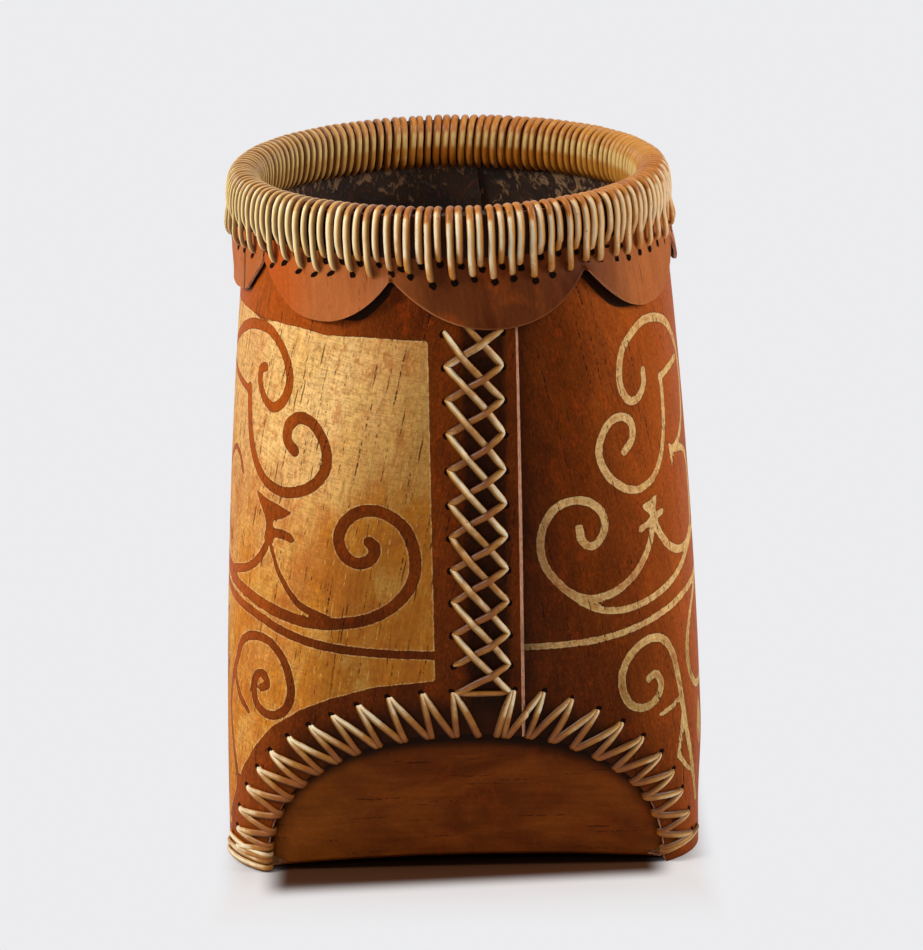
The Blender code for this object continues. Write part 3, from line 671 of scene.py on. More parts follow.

# %% [markdown]
# ## Finishes of the bark
#
# The outside of the wall is reddish brown winter bark, and ochre where it is scraped. Both grow darker
# towards the seams, partly in the bark's own tone and partly in painted shade for the middle of each face.
# Its colour comes from the grain group and the scraping group, and the same masks drive the roughness and a
# fine bump, so that the scraped ground lies a little lower.

# %% The outer face of the walls


def bark_outside():
    made, tree, place, grain = new_bark("winter bark, outer face", 2.9, 0.4)
    cut = use_group(tree, SCRAPING, Distance=fact(tree, "scraped"), Place=place, Waver=0.9)
    across, height, _ = split(place)
    from_seam = calc("ABSOLUTE", across)
    fine, patches, scraped = grain["Fine"], grain["Patches"], cut["Scraped"]
    mottle = noise(stretched(place, 4.5, 7.0, 4.0), 4.0, 0.62, 0.8)
    scratch = noise(stretched(place, 0.6, 2.6, 23.0), 3.0, 0.75, 1.6)

    # Painted shade: the brown darkens towards the seams, where the face turns from the side lamps, and low down
    # near the seam; part of this darkening and the random patches are the bark's own tone.
    middle_shade_and_tone = calc("ADD", ramp(from_seam, 45.0, 118.0) * 0.78, (patches - 0.5) * 0.9, clamp=True)
    brown = paint(
        blend(middle_shade_and_tone, tone(178, 84, 18), tone(86, 33, 4)),
        (ramp(mottle, 0.52, 0.7, 0.0, 0.4), (176, 66, 12)),
        (grain["Streaks"], 0.3, 0.7, 0.9, 1.07),
        (fine, 0.3, 0.7, 0.8, 1.14),
        (grain["Leather"], 0.3, 0.7, 0.7, 1.26),
        (ramp(height, 150.0, 85.0) * ramp(from_seam, 70.0, 115.0), 0.0, 1.0, 1.0, 0.66),
        (ramp(scratch, 0.6, 0.68, 0.0, 0.6), (52, 18, 4)),
        (ramp(scratch, 0.4, 0.33, 0.0, 0.3), (198, 104, 44)),
    )

    cloud = noise(stretched(place, 22.0, 26.0, 17.0), 4.0, 0.55)
    weave = noise(stretched(place, 4.0, 0.6, 61.0), 3.0, 0.6)
    crumbs = noise(stretched(place, 0.9, 1.8, 41.0), 4.0, 0.72)
    # Painted shade: the scraped panel darkens and warms towards the seam, and the scraped wing darkens low down
    # near the seam, as the face turns from the left lamp.
    seamward_shade = ramp(across, 92.0, 126.0, 0.0, 0.85) * ramp(height, 215.0, 110.0, 0.6, 1.0)
    near_lacing = ramp(from_seam, 80.0, 108.0) * ramp(height, 165.0, 125.0)
    far_wing = ramp(across, -10.0, -60.0)
    warmth = ramp(height, 98.0, 200.0, 1.0, 0.04) + seamward_shade + ramp(across, 80.0, 40.0, 0.0, 0.3)
    far_warmth = calc("MULTIPLY_ADD", near_lacing, 0.8, 0.1)
    warmth = put(tree, "ShaderNodeMapRange", Value=far_wing, i3=warmth, i4=far_warmth)[0]
    warmth = calc("ADD", warmth, (cloud - 0.5) * 1.1, clamp=True)
    ochre = paint(
        blend(warmth, tone(252, 206, 132), tone(210, 132, 40)),
        (far_wing * 0.7, (255, 214, 138)),
        (ramp(across, 68.0, 44.0, 0.0, 0.5) * ramp(height, 85.0, 105.0), (222, 176, 120)),
        (ramp(mottle, 0.5, 0.66, 0.0, 0.6), (198, 112, 44)),
        (ramp(mottle, 0.45, 0.3, 0.0, 0.3), (236, 186, 98)),
        (ramp(patches, 0.5, 0.62, 0.0, 0.4) * ramp(height, 175.0, 135.0, 0.25, 1.0), (182, 94, 36)),
        (ramp(patches, 0.47, 0.36, 0.0, 0.4), (232, 184, 98)),
        (seamward_shade, 0.1, 0.8, 1.0, 0.74),
        (near_lacing * far_wing, 0.0, 1.0, 1.0, 0.85),
        (ramp(height, 110.0, 70.0) * ramp(across, 70.0, 40.0), 0.0, 1.0, 1.0, 0.66),
        (fine, 0.25, 0.75, 0.84, 1.1),
        (ramp(weave, 0.5, 0.32, 0.0, 0.42), (196, 116, 52)),
        (weave, 0.32, 0.68, 0.93, 1.08),
        (ramp(crumbs, 0.48, 0.32, 0.0, 0.5), (184, 104, 44)),
        (crumbs, 0.34, 0.66, 0.88, 1.12),
        (grain["Streaks"], 0.3, 0.7, 0.88, 1.06),
        (ramp(scratch, 0.62, 0.72, 0.0, 0.5), (150, 78, 26)),
        # painted highlight along the edges of the scraped lines
        (cut["Lip"] * ramp(crumbs, 0.4, 0.6, 0.05, 0.4), (244, 214, 150)),
        (crack_rows(place, fine, 3.6, 15.0, 43.0) * ramp(far_wing, 0.0, 1.0, 0.45, 0.0), (240, 196, 116)),
        (crack_rows(place, fine, 5.0, 19.0, 61.0) * 0.85, (84, 36, 8)),
    )

    near_edge = fact(tree, "edge")
    colour = paint(
        blend(scraped, brown, ochre),
        (cut["Shadow"] * 0.4, (66, 26, 8)),
        (grain["Pores"] * ramp(scraped, 0.0, 1.0, 0.55, 0.85), (84, 38, 10)),
        (grain["Cracks"] * 0.95, (40, 14, 4)),
        (ramp(near_edge, 1.6, 0.2, 0.0, 0.35), (60, 26, 10)),
        # painted shade among the arch stitches near the top of the arch
        (ramp(near_edge, 18.0, 9.0, 0.0, 0.85) * ramp(height, 46.0, 60.0), (36, 15, 4)),
        # painted shade under the lacing and beside the cut edge of the wing over it
        (fact(tree, "lacing_shade") * ramp(crumbs, 0.3, 0.55, 0.8, 1.0), (14, 6, 2)),
        (ramp(fact(tree, "shade"), 0.35, -0.5, 0.0, 0.94), (12, 6, 2)),
    )
    rough = ramp(fine, 0.3, 0.7, 0.42, 0.56) + scraped * 0.12
    relief = grain["Height"] * 0.5 - scraped * 0.55
    return finish_surface(made, colour, rough, relief, 0.6, 0.3, Specular_IOR_Level=0.05)


BARK_OUTSIDE = bark_outside()

# %% [markdown]
# The basket is made with the white papery side of the bark turned in, so the inside is pale and grey where
# the paper stays and orange brown where it has peeled. Above about 150 mm the inside is darkened in painted
# shade. The raw edge of a sheet shows its thin layers.

# %% The papery inner face and the raw edge


def bark_inside():
    made, tree, place, grain = new_bark("papery bark, inner face", 3.4, 0.7)
    peel = noise(stretched(place, 5.0, 8.0, 2.0), 6.0, 0.66, 1.2)
    shade_mottle = noise(stretched(place, 20.0, 12.0, 31.0), 5.0, 0.6, 0.5)
    sideways, _, high = split(object_place(tree))
    kept = peel + ramp(high, 0.215, 0.246, -0.13, 0.03) + ramp(sideways, 0.01, 0.05, 0.0, 0.05)
    # Painted shade: the upper inside is dark, with its own papery and peeled flecks, and turns to the paper's pale
    # colour below about 150 mm.
    shaded_upper = paint(
        blend(ramp(shade_mottle, 0.35, 0.65), tone(58, 34, 16), tone(28, 15, 7)),
        (ramp(kept, 0.53, 0.62), (156, 120, 86)),
        (ramp(peel, 0.42, 0.34, 0.0, 0.8), (104, 52, 24)),
    )
    bare_paper = blend(ramp(peel, 0.42, 0.6), tone(196, 134, 84), tone(232, 200, 160))
    colour = paint(
        blend(ramp(high, 0.2, 0.15), shaded_upper, bare_paper),
        (grain["Fine"], 0.3, 0.7, 0.72, 1.15),
        (grain["Pores"] * 0.8, (48, 30, 20)),
    )
    relief = grain["Height"] * 0.4 + ramp(peel, 0.5, 0.56, 0.0, 0.5)
    return finish_surface(made, colour, ramp(peel, 0.4, 0.6, 0.7, 0.55), relief, 0.6, 0.35)


def raw_edge():
    made, tree = new_material("raw cut edge of bark")
    place = object_place(tree)
    layers = noise(scaled(place, 1800.0, 1800.0, 400.0), 3.0, 0.6)
    stains = noise(scaled(place, 120.0, 120.0, 60.0), 4.0, 0.6)
    colour = paint(
        blend(ramp(layers, 0.35, 0.65), tone(212, 156, 120), tone(164, 104, 72)),
        (ramp(stains, 0.5, 0.7, 0.0, 0.7), (120, 66, 34)),
        (ramp(split(place)[2], 0.25, 0.26, 0.0, 0.9), (44, 20, 8)),
    )
    return finish_surface(made, colour, ramp(stains, 0.3, 0.7, 0.6, 0.75), layers, 0.4, 0.2)


BARK_INSIDE, RAW_EDGE = bark_inside(), raw_edge()

# %% [markdown]
# ## The outline of the collar
#
# The collar hangs over the walls in round lobes that stand off here and there. The lamps cast its shadow, and
# the dark shadow is also painted on the wall, so its lower outline is needed before the walls are made. The lobes
# differ in width, and the last one has a straight edge with its corner cut off.

# %% The lobes
LOBE_MIDDLE, CUSP, COLLAR_GAP, COLLAR_SPLIT = 14.5, 237.0, 1.2, 0.942
LOBE_ENDS = np.array([0.0, 0.232, 0.518, 0.755, 1.0])
LOBE_LOW = np.array([219.0, 218.0, 217.5, 219.8])
LAST_LOBE = ([0.0, 0.04, 0.1, 0.18, 0.28, 0.4, 0.6, 0.76, 0.795, 0.885, 0.96, 1.0],
             [237.0, 233.5, 229.5, 225.0, 221.8, 220.4, 220.4, 221.4, 222.4, 228.2, 232.9, 236.0])


def lobe_of(share):
    lobe = np.clip(np.searchsorted(LOBE_ENDS, share, side="right") - 1, 0, 3)
    return lobe, (share - LOBE_ENDS[lobe]) / (LOBE_ENDS[lobe + 1] - LOBE_ENDS[lobe])


def collar_edge(share):
    """Height of the lower edge at a share of the way along one strip."""
    lobe, along = lobe_of(share)
    rounded = LOBE_LOW[lobe] + (CUSP - LOBE_LOW[lobe]) * np.abs(2.0 * along - 1.0) ** 2.2
    return np.where(lobe == 3, np.interp(along, *LAST_LOBE), rounded)


def collar_start(z):
    return LOBE_MIDDLE - 0.75 * quarter(z)


def collar_share(arc, z):
    """How far along its strip of the collar a place lies, from none to one."""
    return np.mod(arc - collar_start(z), 2.0 * quarter(z)) / (2.0 * quarter(z))


def collar_stand(arc, z):
    """How far the collar stands off at the left and right sides."""
    girth = 2.0 * quarter(z)
    from_side = np.mod(arc, girth) - girth / 2.0
    stand = 2.1 * np.exp(-((from_side / 36.0) ** 2)) * smooth((244.0 - z) / 5.0)
    return stand * (1.0 - 0.45 * smooth((233.0 - z) / 14.0))


def under_collar(arc, z):
    """Signed distance below the collar to the end of its shadow, negative in the shadow."""
    share = collar_share(arc, z)
    deep = 0.6 + 4.2 * smooth((share - 0.150) / 0.045) * smooth((0.240 - share) / 0.012)
    deep = deep + 4.4 * smooth((0.612 - share) / 0.065) * smooth((share - 0.508) / 0.012)
    return collar_edge(share) - z - deep


def lacing_shade_at(arc, z):
    """How deep a place lies in painted shade under the lacing, or beside the cut edge of the wing over it."""
    high = smooth((z - 64.0) / 8.0) * smooth((226.0 - z) / 3.0)
    lacing = 0.88 * smooth((arc + 1.0) / 4.5) * smooth((20.0 - arc) / 3.4)
    band = 0.25 * smooth((arc - 15.0) / 3.0) * (arc <= OVER_EDGE)
    past = arc + 2.0 * quarter(z) - OVER_EDGE
    under = 0.78 * np.exp(-np.clip(past, 0.0, None) / 10.0)
    return np.clip(np.maximum(lacing, band) * high + under, 0.0, 0.9)


print("collar lobes end at", (LOBE_ENDS * 261.6).round(), "mm along each strip")

# %% [markdown]
# ## The two walls
#
# Each wall is one sheet of bark. It starts at a cut edge that lies over the front seam, runs round one side
# and ends under the back seam. Its lower edge has half an arch, a foot, and half of the arch behind. A grid
# fits such an outline well when its columns start at even steps along that lower edge and fan up to the rim.

# %% The lower edge of a wall


def arch_curve(wide, high, count=1441):
    """The arch from the right foot over the top to the left foot, as arc and height."""
    angle = np.linspace(0.0, math.pi, count)
    x = wide * np.sign(np.cos(angle)) * np.abs(np.cos(angle)) ** (2 / ARCH_POWER)
    z = high * np.abs(np.sin(angle)) ** (2 / ARCH_POWER)
    return x, z


def lower_edge(count):
    x, z = arch_curve(ARCH_WIDE, ARCH_HIGH)
    arc = arc_of(x, z)
    front = np.stack([arc, z], axis=1)[x <= OVER_EDGE]
    front = np.concatenate([[[OVER_EDGE, front[0, 1]]], front])
    back = np.stack([arc - 2.0 * quarter(z), z], axis=1)[x >= -UNDER_EDGE]
    last = -(2.0 * quarter(back[-1, 1]) + UNDER_EDGE)
    back = np.concatenate([back, [[last, back[-1, 1]]]])
    return even_run(np.concatenate([front, back]), count)


WALL_COLUMNS, WALL_ROWS = 282, 166
LOWER = lower_edge(WALL_COLUMNS)
print("lower edge of a wall:", round(float(np.abs(np.diff(LOWER, axis=0)).sum())), "mm along")

# %% The walls as meshes


def bark_place(arc, z, middle):
    """Places on the flat sheet: the sheet is a piece of a ring, so its grain fans against the wall."""
    reach = SHEET_RING - z
    angle = (arc - middle) / reach
    return np.stack([reach * np.sin(angle), SHEET_RING - reach * np.cos(angle), 0.0 * z], axis=-1)


def make_wall(name):
    low_arc, low_z = LOWER[:, 0], LOWER[:, 1]
    low = (OVER_EDGE - low_arc) / (OVER_EDGE + 2.0 * quarter(low_z) + UNDER_EDGE)
    top = np.linspace(0.0, 1.0, WALL_COLUMNS)
    rise = np.linspace(0.0, 1.0, WALL_ROWS)[:, None]
    share = low + (top - low) * rise
    z = low_z + (WALL_TOP - low_z) * rise
    end = -(2.0 * quarter(z) + UNDER_EDGE)
    arc = OVER_EDGE + (end - OVER_EDGE) * share
    covered = OVER_EDGE + UNDER_EDGE + STEP_REST
    inset = (BARK + CLEAR) * (1.0 - smooth((arc - end - covered) / STEP_RUN))
    bevel = 1.3 * np.exp(-(OVER_EDGE - arc) / 0.8)
    outer, inner = on_skin(arc - bevel, z, -inset), on_skin(arc, z, -inset - BARK)
    arc, z = arc.ravel(), z.ravel()
    facts = {
        "scraped": ornament(arc, z),
        "edge": np.clip(nearest(even_run(LOWER, 900), np.stack([arc, z], axis=1)), 0.0, FAR),
        "shade": np.clip(under_collar(arc, z), -MASK_REACH, MASK_REACH),
        "lacing_shade": lacing_shade_at(arc, z),
        "bark_place": bark_place(arc, z, -quarter(z)),
    }
    return add_sheet(name, outer, inner, BARK_OUTSIDE, facts, 400.0, scraped=np.full(len(arc), MASK_REACH))


left = make_wall("left_bark_wall")
right = half_turned(left, "right_bark_wall")
for piece, node in ((left, "left_wall"), (right, "right_wall")):
    lean_rim(piece)
    settle(piece, node)
print("faces in one wall:", len(left.data.polygons))

# %% [markdown]
# ## The bottom and its flaps
#
# The bottom is a square of bark whose front and back are folded up as rounded flaps behind the arches. One
# grid runs down the front flap, over the bottom and up the back flap, so that the fold stays one soft bend.

# %% The finish of the bottom


def bark_under():
    made, tree, place, grain = new_bark("dark bark of the bottom", 4.6, 0.35)
    scuff = noise(stretched(place, 16.0, 7.0, 5.0), 5.0, 0.65, 1.0)
    colour = paint(
        blend(ramp(grain["Patches"], 0.35, 0.65), tone(128, 62, 14), tone(96, 42, 6)),
        (ramp(scuff, 0.54, 0.66, 0.0, 0.4), (130, 54, 14)),
        # Painted light: the flap is paler and redder towards the left, where the left lamp falls.
        (ramp(split(object_place(tree))[0], -0.01, -0.08, 0.0, 0.45), (160, 88, 26)),
        (grain["Streaks"], 0.3, 0.7, 0.9, 1.07),
        (grain["Leather"], 0.3, 0.7, 0.88, 1.1),
        (calc("MAXIMUM", grain["Pores"], grain["Cracks"]) * 0.7, (48, 20, 6)),
        # Painted shade under the arch edge.
        (ramp(fact(tree, "under_edge"), 7.0, 0.6, 0.0, 0.92), (12, 6, 2)),
    )
    rough = ramp(scuff, 0.3, 0.7, 0.42, 0.58)
    return finish_surface(made, colour, rough, grain["Height"], 0.5, 0.22, Specular_IOR_Level=0.05)


BARK_UNDER = bark_under()

# %% The bottom as a mesh
RISE_EDGE, BOW = 2.5, 4.5
FLAP_WIDE, FLAP_HIGH, FLAP_SPREAD, FLAP_TOP = 86.0, 67.5, 2.4, 0.984
BOTTOM_COLUMNS, FLAP_ROWS, FLOOR_ROWS = 97, 42, 64
FOLD_LOW, FOLD_RISE, FOLD_TOP, FOLD_REACH = 0.4, 4.0, 5.0, 92.0
FLAP_FROM = 85.0


def front_depth(x, z, out):
    radius = corner_radius(z)
    flat = half_width(z) - radius
    past = np.clip(np.abs(x) - flat, 0.0, None)
    return flat + np.sqrt(np.clip((radius + out) ** 2 - past**2, 0.0, None))


def fold_line(x):
    """Height of the fold over the floor: it bows up between the feet, most of all right of the middle."""
    return FOLD_LOW + FOLD_RISE * np.clip(1.0 - ((x - FOLD_TOP) / FOLD_REACH) ** 2, 0.0, 1.0)


def make_bottom(name):
    across = np.linspace(-1.0, 1.0, BOTTOM_COLUMNS)
    reach = -(SKIN_IN + CLEAR)
    fold = RISE_EDGE + BARK
    straight = half_width(0.0) - corner_radius(0.0)
    flap = []
    for rise in np.linspace(FLAP_HIGH * FLAP_TOP, fold, FLAP_ROWS):
        arched = FLAP_WIDE * (1.0 - (rise / FLAP_HIGH) ** ARCH_POWER) ** (1.0 / ARCH_POWER)
        x = across * min(arched, straight + FLAP_SPREAD * (rise - RISE_EDGE))
        sag = (fold_line(x) + BARK - fold) * (1.0 - (rise - fold) / (FLAP_HIGH - fold)) ** 3
        flap.append(np.stack([x, -front_depth(x, rise, reach), rise + sag], axis=1))
    rows = list(flap)
    side = half_width(0.0) + reach
    deep = side - BARK
    radius = corner_radius(0.0) + reach
    for y in deep * np.sin(np.linspace(-math.pi / 2, math.pi / 2, FLOOR_ROWS)):
        past = max(0.0, abs(y) - (side - radius))
        x = across * (side - radius + math.sqrt(radius**2 - past**2))
        lift = (1.0 - (y / side) ** 2) * (1.0 - (x / side) ** 2)
        at_fold = abs(y / deep) ** 8
        z = (RISE_EDGE + BOW * lift) * (1.0 - at_fold) + fold_line(-x if y > 0 else x) * at_fold
        rows.append(np.stack([x, y + 0.0 * x, z], axis=1))
    rows += [row[::-1] * np.array([-1.0, -1.0, 1.0]) for row in flap[::-1]]
    outer = np.array(rows)
    normal = unit(np.cross(np.gradient(outer, axis=1), np.gradient(outer, axis=0)))
    x, y, z = outer.reshape(-1, 3).T
    run = np.repeat(length_along(outer[:, BOTTOM_COLUMNS // 2]), BOTTOM_COLUMNS)
    arch = np.stack(arch_curve(ARCH_WIDE, ARCH_HIGH, 400), axis=1)
    inside = (np.abs(x) / ARCH_WIDE) ** ARCH_POWER + (np.clip(z, 0.0, None) / ARCH_HIGH) ** ARCH_POWER < 1.0
    # under_edge is the distance in under the arch edge, for the painted shade that lies under it; the shade widens
    # at the top of the arch and narrows near the feet.
    under = nearest(arch, np.stack([x, z], axis=1)) * np.where(inside, 1.0, -1.0) - 4.0 * (z / ARCH_HIGH) ** 4
    under = under + 4.5 * np.exp(-np.clip(z, 0.0, None) / 16.0)
    under = np.clip(np.where(np.abs(y) < FLAP_FROM, FAR, under), -9.0, FAR)
    facts = {"bark_place": np.stack([run, x, 0.0 * x], axis=-1), "under_edge": under}
    return add_sheet(name, outer, outer + normal * BARK, BARK_UNDER, facts, 300.0)


bottom = make_bottom("bottom_bark")
settle(bottom, "bottom")
print("faces in the bottom:", len(bottom.data.polygons))

# %% [markdown]
# ## The collar
#
# Under the rim lies a second band of bark, cut below in round lobes. It is two strips, front and back, that
# are held only by the lashing, so the lobes stand a little off the wall and throw a thin dark shadow. Its
# colour is softer and pinker than the wall's.

# %% The finish of the collar


def bark_collar():
    made, tree, place, grain = new_bark("smooth bark of the collar", 5.2, 0.3)
    along = split(place)[0]
    scuff = noise(stretched(place, 12.0, 20.0, 8.0), 4.0, 0.6, 0.7)
    # Painted shade: the middle lobes darken, as they face away from the side lamps; random patches vary the tone.
    middle_shade_and_tone = ramp(calc("ABSOLUTE", along - 22.0), 66.0, 22.0, 0.0, 0.85)
    middle_shade_and_tone = calc("ADD", middle_shade_and_tone, (grain["Patches"] - 0.5) * 0.8, clamp=True)
    bare = ramp(along, -26.0, -20.0, 0.06, 1.0) * ramp(along, -2.0, 8.0, 1.0, 0.25)
    colour = paint(
        blend(middle_shade_and_tone, tone(184, 104, 52), tone(82, 32, 4)),
        (ramp(along, -54.0, -74.0, 0.0, 0.9), (186, 84, 24)),
        (ramp(scuff, 0.5, 0.7, 0.0, 0.5), (176, 78, 22)),
        (grain["Streaks"], 0.3, 0.7, 0.9, 1.07),
        (grain["Leather"], 0.3, 0.7, 0.9, 1.08),
        (grain["Cracks"] * 0.4, (96, 44, 14)),
        (grain["Pores"] * 0.6, (84, 34, 14)),
        (bare * ramp(fact(tree, "edge"), 0.8, 0.2, 0.0, 0.75), (196, 124, 72)),
        (ramp(fact(tree, "split"), 0.9, 0.3, 0.0, 0.9), (26, 11, 5)),
    )
    rough = ramp(scuff, 0.3, 0.7, 0.46, 0.6)
    return finish_surface(made, colour, rough, grain["Height"], 0.45, 0.2, Specular_IOR_Level=0.07)


BARK_COLLAR = bark_collar()

# %% The collar as two meshes
LOBE_COLUMNS, COLLAR_ROWS = 64, 30
LOBE_LIFT = ((0.02, 2.8), (0.2, 0.6), (2.8, 0.6), (0.5, 0.05))


def make_collar(name):
    share = np.linspace(0.0, 1.0, 4 * LOBE_COLUMNS + 1)
    lobe, along = lobe_of(share)
    rows = np.concatenate([[0.0], np.linspace(0.0, 1.0, COLLAR_ROWS)])[:, None]
    z = ROUND_FROM + (collar_edge(share) - ROUND_FROM) * rows
    z[0] = WALL_TOP
    arc = collar_start(z) + COLLAR_GAP / 2 + (2.0 * quarter(z) - COLLAR_GAP) * share
    left_lift, right_lift = np.array(LOBE_LIFT)[lobe].T
    lift = np.where(along < 0.5, left_lift, right_lift) * np.abs(2.0 * along - 1.0) ** 0.9
    lift = (lift + 0.15) * rows ** 1.5 * smooth((ROUND_FROM - 0.5 - z) / 5.0)
    out = CLEAR + COLLAR_BARK + lift + collar_stand(arc, z)
    outer, inner = on_skin(arc, z, out), on_skin(arc, z, out - COLLAR_BARK)
    edge = even_run(np.stack([arc[-1], z[-1]], axis=1), 900)
    from_split = np.abs(np.broadcast_to(share, z.shape) - COLLAR_SPLIT).ravel() * 260.0
    arc, z = arc.ravel(), z.ravel()
    facts = {
        "edge": np.clip(nearest(edge, np.stack([arc, z], axis=1)), 0.0, FAR),
        "bark_place": np.stack([arc, z, 0.0 * arc], axis=-1),
        "split": from_split + FAR * (z > 243.0),
    }
    return add_sheet(name, outer, inner, BARK_COLLAR, facts, 300.0)


front_collar = make_collar("front_bark_collar")
back_collar = half_turned(front_collar, "back_bark_collar")
for piece, node in ((front_collar, "front_collar"), (back_collar, "back_collar")):
    lean_rim(piece)
    settle(piece, node)
print("faces in one collar:", len(front_collar.data.polygons))

# %% [markdown]
# ## Split root
#
# All lashing is split spruce root. A root is halved along its length, so its back is flat and its face is
# round and glossy, and it is never quite even: it leans, swells and changes colour. Each strand here is a
# half-round section swept along a smooth path, and it carries its length, its side and a number of its own.
# The gleam along a strand and the sheen inside the rim are painted highlights, the paler left side of the rim is
# painted light, and the darker right flank of each strand is painted shade. They are written into the colour,
# because they should stay where they are when the light is plain.

# %% Strands of split root
SECTION = 12


def sweep(name, strands, slot):
    """One mesh of many strands. Each is a path, an outward direction, half widths and half heights."""
    points, faces, lays, tints = [], [], [], []
    turn = 2.0 * math.pi * np.arange(SECTION) / SECTION
    across = np.cos(turn)
    rise = np.where(np.sin(turn) > 0, np.sin(turn), 0.5 * np.sin(turn))
    first = 0
    for path, away, half, high, tint, warm in strands:
        count = len(path)
        heading = unit(np.gradient(path, axis=0))
        up = unit(away - heading * np.sum(away * heading, axis=1, keepdims=True))
        side = np.cross(heading, up)
        ring = (path[:, None] + side[:, None] * (across * half[:, None])[..., None]
                + up[:, None] * (rise * high[:, None])[..., None])
        points.append(ring.reshape(-1, 3))
        index = first + np.arange(count * SECTION).reshape(count, SECTION)
        after = np.roll(index, -1, axis=1)
        faces += np.stack([index[:-1], after[:-1], after[1:], index[1:]], axis=-1).reshape(-1, 4).tolist()
        faces += [index[0][::-1].tolist(), index[-1].tolist()]
        own = np.full(count * SECTION, tint)
        run = np.repeat(length_along(path), SECTION)
        lays.append(np.stack([run, np.tile(np.degrees(turn) / 30.0, count), own * 97.0], axis=1))
        tints.append(np.stack([own, np.repeat(warm, SECTION), np.tile(across, count)], axis=1))
        first += count * SECTION
    facts = {"lay": np.concatenate(lays), "tint": np.concatenate(tints)}
    return add_piece(name, np.concatenate(points), faces, [slot], None, facts, sharp=60.0)


print("points round a strand:", SECTION)

# %% The finish of the roots


def make_root_fibre():
    tree, given = open_group("split root fibre", Lay=None)
    fibre = noise(scaled(given["Lay"], 0.16, 1.5, 1.0), 4.0, 0.6)
    blotch = noise(scaled(given["Lay"], 0.22, 0.12, 1.0), 3.0, 0.5)
    scars = ramp(noise(scaled(given["Lay"], 0.7, 0.35, 1.0), 2.0, 0.5), 0.68, 0.78)
    return close_group(tree, Fibre=fibre, Blotch=blotch, Scars=scars, Height=fibre - scars * 0.5)


ROOT_FIBRE = make_root_fibre()


def root_finish(name, pale, warm, dark, gloss, painted_rim_light):
    """Pale and warm are the ends of a strand's tint; painted_rim_light is how strongly the rim's left side is
    paled in painted light, and it also scales the painted sheen and golden tint of the inner strands.
    """
    made, tree = new_material(name)
    own, warmth, side = split(fact(tree, "tint", "Vector"))
    fibre = use_group(tree, ROOT_FIBRE, Lay=fact(tree, "lay", "Vector"))
    x, y, z = split(object_place(tree))
    share = calc("ADD", warmth + (fibre["Blotch"] - 0.5) * 0.8, (own - 0.5) * 0.35, clamp=True)
    flank = side + (fibre["Fibre"] - 0.5) * 0.8
    inner = ramp(warmth, 0.65, 0.8, 0.0, painted_rim_light)
    far_right = ramp(x, 0.02, 0.07, 0.0, 0.45) * ramp(y, -0.02, 0.02)
    gleam = ramp(flank, 0.2, -0.3) * ramp(flank, -1.0, -0.7) * ramp(share, 0.7, 0.1, 0.0, 0.92)
    sheen = ramp(z, 0.2515, 0.2545) * ramp(z, 0.2605, 0.2575) * (ramp(flank, 0.6, 0.0) * ramp(flank, -1.0, -0.5))
    colour = paint(
        blend(share, tone(*pale), tone(*warm)),
        # painted light: the rim's left side is paler
        (ramp(x, -0.012, -0.066, 0.0, painted_rim_light) * ramp(warmth, 0.75, 0.2, 0.45, 1.0), (255, 224, 142)),
        (inner * far_right, (236, 172, 78)),
        (gleam * ramp(x, 0.02, 0.07, 1.0, 0.6), (255, 244, 210)),
        (sheen * (inner * 0.75), (255, 226, 150)),
        # painted shade on the right flank of each strand
        (ramp(flank, 0.05, 0.8, 0.0, 0.85), dark),
        (fibre["Fibre"], 0.3, 0.7, 0.84, 1.08),
        (fibre["Scars"] * 0.6, dark),
    )
    rough = ramp(fibre["Fibre"], 0.3, 0.7, gloss, gloss + 0.14)
    return finish_surface(made, colour, rough, fibre["Height"], 0.5, 0.16,
                          Specular_IOR_Level=0.2, Coat_Weight=0.25, Coat_Roughness=0.3)


RIM_ROOT = root_finish("honey root of the rim", (244, 172, 72), (184, 106, 22), (98, 42, 4), 0.34, 0.95)
SEAM_ROOT = root_finish("root of the lacing", (226, 164, 68), (150, 82, 14), (70, 30, 3), 0.4, 0.0)

# %% [markdown]
# ## Awl holes
#
# Each stitch goes through a hole pierced with an awl, a little ragged and wider than the root. The bark is
# kept whole in this model, so a hole is a thin ragged patch of almost black on the bark, under the strand: painted
# shade for the dark inside of the hole.

# %% The patches


def dark_hole():
    made, tree = new_material("inside of an awl hole")
    torn = noise(scaled(object_place(tree), 900.0, 900.0, 900.0), 4.0, 0.6)
    # Painted shade: the near-black colour stands for the dark inside of the hole.
    colour = blend(ramp(torn, 0.4, 0.75), tone(14, 5, 2), tone(36, 13, 5))
    rough = ramp(torn, 0.2, 0.8, 0.8, 0.95)
    return finish_surface(made, colour, rough, torn, 0.5, 0.2, Specular_IOR_Level=0.05)


DARK_HOLE = dark_hole()
CHANCE = np.random.default_rng(7)


def make_holes(name, spots):
    """Ragged patches. Each spot is arc, height, distance out, half width, half height and tilt."""
    points, faces = [], []
    count = 14
    for arc, z, out, wide, high, tilt in spots:
        ragged = 1.0 + 0.09 * CHANCE.standard_normal(count)
        turn = 2.0 * math.pi * np.arange(count) / count
        a, b = wide * ragged * np.cos(turn), high * ragged * np.sin(turn)
        lean_a, lean_b = a * math.cos(tilt) - b * math.sin(tilt), a * math.sin(tilt) + b * math.cos(tilt)
        ring = on_skin(arc + lean_a, z + lean_b, out)
        deep = on_skin(arc + 0.6 * a, z + 0.6 * b, out - 0.35)
        first = len(points) * 2 * count
        points.append(np.concatenate([ring, deep]))
        index = first + np.arange(count)
        faces += [(a, b, b + count, a + count) for a, b in zip(np.roll(index, -1), index)]
        faces += [tuple(index), tuple((index + count)[::-1])]
    return add_piece(name, np.concatenate(points), faces, [DARK_HOLE])


print("hole maker ready")

